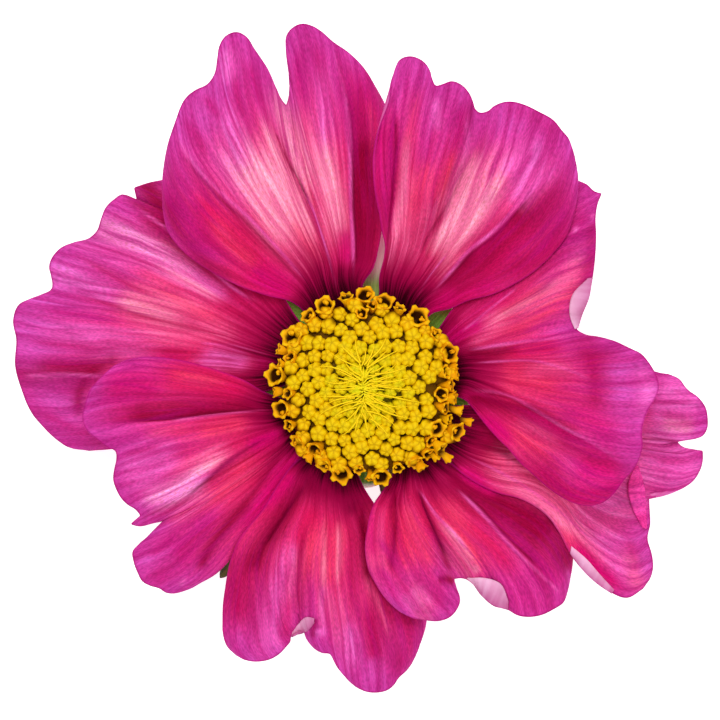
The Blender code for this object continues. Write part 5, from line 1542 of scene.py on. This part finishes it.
def floret_tree():
    tree, given, result = new_group(
        "ring of open florets", "GeometryNodeTree",
        [("Seats", OBJECT, None), ("Floret", OBJECT, None), ("Style", OBJECT, None),
         ("Seed", WHOLE, 8), ("Material", MATERIAL, None)],
        [("Geometry", "NodeSocketGeometry")],
    )

    def named(name, kind):
        return first(tree, "GeometryNodeInputNamedAttribute", {"Name": name}, data_type=kind)

    index = first(tree, "GeometryNodeInputIndex")
    turned = spin_each(tree, named("turn", "FLOAT_VECTOR"), given["Seed"], index)
    size = uniform(tree, named("size", "FLOAT"))
    marked = mark_ripe(tree, shape_of(tree, given["Seats"]), named("ripe", "FLOAT"))
    both = wire(tree, "GeometryNodeJoinGeometry")
    for label in ("Floret", "Style"):
        copies = copy_to(tree, marked, shape_of(tree, given[label]), turned, size)
        tree.links.new(copies, both.inputs[0])
    settle_output(tree, both.outputs[0], given["Material"], result, 0.65)
    return tree


def thread_tree():
    """Fine threads that arch inward over the middle of the disc."""
    tree, given, result = new_group(
        "threads over the middle", "GeometryNodeTree",
        [("Count", WHOLE, 104), ("Radius", NUMBER, 5.7), ("Length", NUMBER, 6.0),
         ("Thickness", NUMBER, 0.08), ("Crown", NUMBER, CROWN_HEIGHT), ("Fall", NUMBER, CROWN_FALL),
         ("Seed", WHOLE, 6), ("Material", MATERIAL, None)],
        [("Geometry", "NodeSocketGeometry")],
    )
    points, index, reach, turn = spiral(tree, given["Count"], given["Radius"], 0.95)
    x, y = from_polar(tree, reach, turn)
    sag = times(tree, given["Fall"], times(tree, reach, reach))
    z = minus(tree, given["Crown"], times(tree, sag, 0.5))
    ripe = plus(tree, calc(tree, "DIVIDE", reach, 9.0), 0.12)
    marked = mark_ripe(tree, move_points(tree, points, x, y, z), ripe)
    arch = {"Start": (0, 0, -0.1), "Middle": (-0.45, 0.2, 0.8), "End": (-1, 0, 0.3)}
    arch = first(tree, "GeometryNodeCurveQuadraticBezier", {**arch, "Resolution": 7})
    aside, up = plus(tree, x, 0.45), times(tree, y, 0.55)
    heading = calc(tree, "ARCTAN2", up, aside)
    heading = plus(tree, heading, random_between(tree, -0.12, 0.12, given["Seed"], index))
    span = {0: combine(tree, aside, up, 0.0)}
    span = wire(tree, "ShaderNodeVectorMath", span, operation="LENGTH").outputs["Value"]
    length = calc(tree, "MINIMUM", given["Length"], span)
    length = times(tree, length, random_between(tree, 0.72, 0.98, 9, index))
    bend = times(tree, length, random_between(tree, -1.3, 1.3, 12, index))
    climb = times(tree, minus(tree, reach, times(tree, length, 0.5)), 2.0)
    climb = calc(tree, "ARCTANGENT", times(tree, climb, given["Fall"]))
    rotation, scale = combine(tree, 0.0, climb, heading), combine(tree, length, bend, 0.7)
    threads = copy_to(tree, marked, arch, rotation, scale)
    real = first(tree, "GeometryNodeRealizeInstances", {0: threads})
    share = wire(tree, "GeometryNodeSplineParameter").outputs["Factor"]
    width = ramp(tree, share, 0.0, 0.5, 0.35, 1.0)
    tapered = first(tree, "GeometryNodeSetCurveRadius", {"Curve": real, "Radius": width})
    feeds = {"Resolution": 5, "Radius": given["Thickness"]}
    outline = first(tree, "GeometryNodeCurvePrimitiveCircle", feeds)
    feeds = {"Curve": tapered, "Profile Curve": outline, "Fill Caps": True}
    body = wire(tree, "GeometryNodeCurveToMesh", feeds)
    if "Scale" in body.inputs:
        tree.links.new(width, body.inputs["Scale"])
    settle_output(tree, body.outputs[0], given["Material"], result)
    return tree


def disc_floor(material):
    """The domed floor that the florets stand on, painted dark as shade in the gaps between them."""
    rings = [(11.6, 7.6, 0, 0, 0, 1)]
    for step in range(FLOOR_RINGS):
        radius = FLOOR_RADIUS * (1 - step / FLOOR_RINGS)
        rings.append((crown_height(radius) - FLOOR_DEPTH, radius, 0, 0, 0, 0.8))
    floor = ring_shape("disc_floor", rings, FLOOR_SIDES, 5, (CROWN_HEIGHT - FLOOR_DEPTH, 0, 0.8))
    vertices = floor.data.vertices
    ripe = [min(1, math.hypot(vertex.co.x, vertex.co.y) / FLOOR_RADIUS) for vertex in vertices]
    put_values(floor.data, "ripeness", ripe)
    for vertex in vertices:
        vertex.co = vertex.co * MM + Vector(FOOT)
    floor.data.materials.append(material)
    return floor


# The tones of each kind of floret: greenish, golden, orange, and the dark of its painted shade.
FLORET_TONES = (
    ("closed buds", (212, 202, 8), (228, 188, 2), (232, 168, 1), (112, 72, 1)),
    ("open florets", (236, 186, 4), (236, 172, 2), (232, 154, 1), (64, 28, 1)),
    ("yellow threads", (236, 220, 26), (248, 212, 20), (246, 200, 14), (160, 130, 4)),
)


def build_disc():
    closed, opened, threads = (
        floret_material(name, *(srgb(*tone) for tone in tones))
        for name, *tones in FLORET_TONES
    )
    seats, bud, floret, knob = floret_seats(), bud_pattern(), open_pattern(), knob_pattern()
    patterns = {"Seats": seats, "Floret": floret, "Style": knob}
    pieces = [
        grow("closed_buds", bud_tree(), {"Bud": bud, "Florets": seats}, closed),
        grow("open_florets", floret_tree(), patterns, opened),
        grow("middle_threads", thread_tree(), {}, threads),
    ]
    for helper in (bud, *patterns.values()):
        bpy.data.objects.remove(helper)
    pieces.append(disc_floor(closed))
    for piece in pieces:
        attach(piece, "root")
    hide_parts("bud_dome")
    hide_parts(*[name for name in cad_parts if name.startswith("open_floret_")])


# --- Bracts, receptacle and stem ----------------------------------------------------------

# Each inner bract: its number in the frame, its bearing, and how far out it reaches.
INNER_BRACTS = (
    (1, 86.5, 17.2), (2, 46, 12.0), (3, -9, 10.3), (4, -43, 12.0),
    (5, -91, 9.9), (6, -131, 10.6), (7, 181, 10.9), (8, 131, 12.4),
)
OUTER_BRACTS = (
    (107, 23.0), (62, 22.0), (17, 21.4), (-30, 22.5),
    (-75, 22.0), (-128, 24.6), (-165.5, 26.6), (152, 23.0),
)
BRACT_ROWS = 44
BRACT_COLUMNS = 15
BRACT_KEEL = 0.3
BRACT_RIB_HEIGHT = 0.05
BRACT_RIBS = 3.5
INNER_WIDTHS = (2, 3.4, 4.6, 4.2, 0.8)
INNER_HALF_THICKNESS = 0.16
OUTER_WIDTHS = (1.3, 2, 2.6, 2.9, 2.9, 2.6, 2.2, 1.6, 0.7)
OUTER_HALF_THICKNESS = 0.19
OUTER_ROOT_RADIUS = 2.8
DRY_BRACTS = (1, 5)


def bract(name, bearing, path, widths, half_thickness, material, number):
    """A narrow leaf along a path of (radius, height), with the given widths from end to end."""
    out = np.linspace(0, 1, BRACT_ROWS)
    knots = np.linspace(0, 1, len(path))
    radius = blur_line(np.interp(out, knots, [r for r, _ in path]), 2)
    height = blur_line(np.interp(out, knots, [h for _, h in path]), 3)
    width = np.interp(out, np.linspace(0, 1, len(widths)), widths)
    width = blur_line(width, 2) * np.sqrt(np.clip((1 - out) / 0.06 + 0.02, 0, 1))
    side = np.linspace(-0.5, 0.5, BRACT_COLUMNS)
    angle = math.radians(bearing)
    outward = np.array([math.cos(angle), math.sin(angle)])
    aside = np.array([outward[1], -outward[0]])
    plan = radius[:, None, None] * outward + (width[:, None] * side[None])[..., None] * aside
    section = BRACT_KEEL * (2 * np.abs(side)) ** 1.5
    section += BRACT_RIB_HEIGHT * np.cos(side * 2 * math.pi * BRACT_RIBS)
    share = np.clip(width / max(widths), 0, 1)[:, None]
    grid = np.dstack([plan, height[:, None] + section[None] * share])
    length = float(np.linalg.norm(np.diff(grid[:, BRACT_COLUMNS // 2], axis=0), axis=1).sum())
    margin = np.minimum((0.5 - np.abs(side))[None] * width[:, None], ((1 - out) * length)[:, None])
    fields = {
        "vein_across": side[None] * width[:, None] + 11.0 * number,
        "vein_out": (out * length)[:, None] + 0 * side,
        "margin": margin,
    }
    thickness = half_thickness * np.clip(0.4 + margin / 0.4, 0, 1)
    piece = closed_blades(name, [(grid, thickness, fields, 0)])
    piece.data.materials.append(material)
    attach(piece, "root")
    return piece


# Each kind of bract: its face, veins and rim, how wide the rim is, and where the tip turns dry.
BRACT_TONES = (
    ("inner bract", (88, 152, 32), (128, 186, 62), (196, 212, 150), 0.3),
    ("dry inner bract", (100, 156, 40), (150, 186, 92), (236, 234, 216), 1.0, 7.7),
    ("outer bract", (58, 66, 20), (92, 96, 34), (70, 44, 22), 0.16),
)


def build_bracts():
    inner, dry, outer = (
        leaf_material(name, srgb(*face), srgb(*vein), srgb(*rim), *rest)
        for name, face, vein, rim, *rest in BRACT_TONES
    )
    for number, bearing, reach in INNER_BRACTS:
        path = ((4.75, 5.95), (6.6, 7), (8.4, 8.3), (0.5 * (8.4 + reach), 8.9), (reach, 9.5))
        piece = bract(
            f"inner_bract_leaf_{number}", bearing, path, INNER_WIDTHS, INNER_HALF_THICKNESS,
            dry if number in DRY_BRACTS else inner, number,
        )
        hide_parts(f"inner_bract_{number}")
    for number, (bearing, reach) in enumerate(OUTER_BRACTS, start=1):
        span = reach - OUTER_ROOT_RADIUS
        shares = np.linspace(0, 1, 9)
        path = [(OUTER_ROOT_RADIUS + span * s, 0.2 + 4.65 * (1 - s**1.6)) for s in shares]
        piece = bract(
            f"outer_bract_leaf_{number}", bearing, path, OUTER_WIDTHS, OUTER_HALF_THICKNESS,
            outer, number + 20,
        )
        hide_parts(f"outer_bract_{number}")


RECEPTACLE_PROFILE = (
    (2.5, 12.2), (5, 11.6), (7, 10.6), (7.4, 9.8), (7.2, 8.8), (5.6, 7.2), (3.2, 5.8),
    (1.5, 5), (1.12, 4.2), (1.02, 3), (1.04, 1.2), (1.12, 0.12), (1.04, 0),
)
RECEPTACLE_TOP = 12.4
STEM_RIBS = 8
STEM_RIB_DEPTH = 0.05
STEM_ROWS = 70
STEM_SIDES = 64


def build_stem(material):
    """The receptacle and stem, turned about the axis, with shallow ribs down the stem."""
    profile = smooth_curve(RECEPTACLE_PROFILE, STEM_ROWS)
    points, cut = [], []
    for radius, height in profile:
        ribbing = STEM_RIB_DEPTH * min(1, max(0, (7.5 - height) / 3)) * min(1, height / 0.2)
        for side in range(STEM_SIDES):
            turn = 2 * math.pi * side / STEM_SIDES
            reach = radius * (1 + ribbing * math.cos(STEM_RIBS * turn))
            points.append((reach * math.cos(turn), reach * math.sin(turn), height))
            cut.append(1.0 if height < 0.05 else 0.0)
    faces = []
    for ring in range(len(profile) - 1):
        for side in range(STEM_SIDES):
            there = (side + 1) % STEM_SIDES
            upper, lower = ring * STEM_SIDES, (ring + 1) * STEM_SIDES
            faces.append((upper + there, upper + side, lower + side, lower + there))
    last = (len(profile) - 1) * STEM_SIDES
    points += [(0, 0, RECEPTACLE_TOP), (0, 0, 0)]
    cut += [0.0, 1.0]
    for side in range(STEM_SIDES):
        there = (side + 1) % STEM_SIDES
        faces.append((side, there, len(points) - 2))
        faces.append((last + there, last + side, len(points) - 1))
    mesh = bpy.data.meshes.new("receptacle_and_cut_stem")
    mesh.from_pydata((np.array(points) * MM + FOOT).tolist(), [], faces)
    mesh.shade_smooth()
    put_values(mesh, "cut", cut)
    mesh.materials.append(material)
    piece = put_in_scene("receptacle_and_cut_stem", mesh)
    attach(piece, "root")
    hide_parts("receptacle_and_stem")


# --- Stage --------------------------------------------------------------------------------

CAMERA_DISTANCE = 1.2
VIEW_WIDTH = 0.072
VIEW_LEVEL = 0.011  # the height at which the view is VIEW_WIDTH wide
VIEW_SHIFT = (-0.0008, 0.0029)
SENSOR = 36
FLOOR_REACH = 1.5
FLOOR_SHADE = 0.9
FLOOR_GLOW = 0.68
SKY_STRENGTH = 0.62


def build_stage():
    mesh = bpy.data.meshes.new("floor")
    corners = [(x, y, 0) for x, y in ((-1, -1), (1, -1), (1, 1), (-1, 1))]
    mesh.from_pydata((np.array(corners) * FLOOR_REACH).tolist(), [], [(0, 1, 2, 3)])
    floor = put_in_scene("floor", mesh)
    material, _, shader = new_material("pale floor", 0.9, 0.0)
    shader.inputs["Base Color"].default_value = (FLOOR_SHADE, FLOOR_SHADE, FLOOR_SHADE, 1)
    shader.inputs["Emission Color"].default_value = (1, 1, 1, 1)
    shader.inputs["Emission Strength"].default_value = FLOOR_GLOW
    mesh.materials.append(material)


def area_light(name, place, size, power, aim=(0, 0, 0.01)):
    light = bpy.data.lights.new(name, "AREA")
    light.shape = "DISK"
    light.size = size
    light.energy = power
    lamp = bpy.data.objects.new(name, light)
    lamp.location = place
    lamp.rotation_euler = (Vector(aim) - Vector(place)).to_track_quat("-Z", "Y").to_euler()
    bpy.context.scene.collection.objects.link(lamp)


def build_lights():
    world = bpy.data.worlds.new("studio")
    world.use_nodes = True
    background = world.node_tree.nodes["Background"]
    background.inputs["Color"].default_value = (1, 1, 1, 1)
    background.inputs["Strength"].default_value = SKY_STRENGTH
    bpy.context.scene.world = world
    area_light("key light", (-0.07, 0.2, 0.6), 0.3, 1.9)
    area_light("fill light", (0.24, -0.18, 0.5), 0.3, 0.65)


def build_camera():
    camera = bpy.data.cameras.new("camera")
    camera.sensor_width = SENSOR
    camera.lens = SENSOR * (CAMERA_DISTANCE - VIEW_LEVEL) / VIEW_WIDTH
    camera.clip_start = 0.05
    camera.clip_end = 10
    eye = bpy.data.objects.new("camera", camera)
    eye.location = (DISC[0] + VIEW_SHIFT[0], DISC[1] + VIEW_SHIFT[1], CAMERA_DISTANCE)
    bpy.context.scene.collection.objects.link(eye)
    bpy.context.scene.camera = eye
    bpy.context.scene.view_settings.view_transform = "Standard"


build_petals(petal_material())
build_disc()
build_bracts()
build_stem(stem_material())
build_stage()
build_lights()
build_camera()
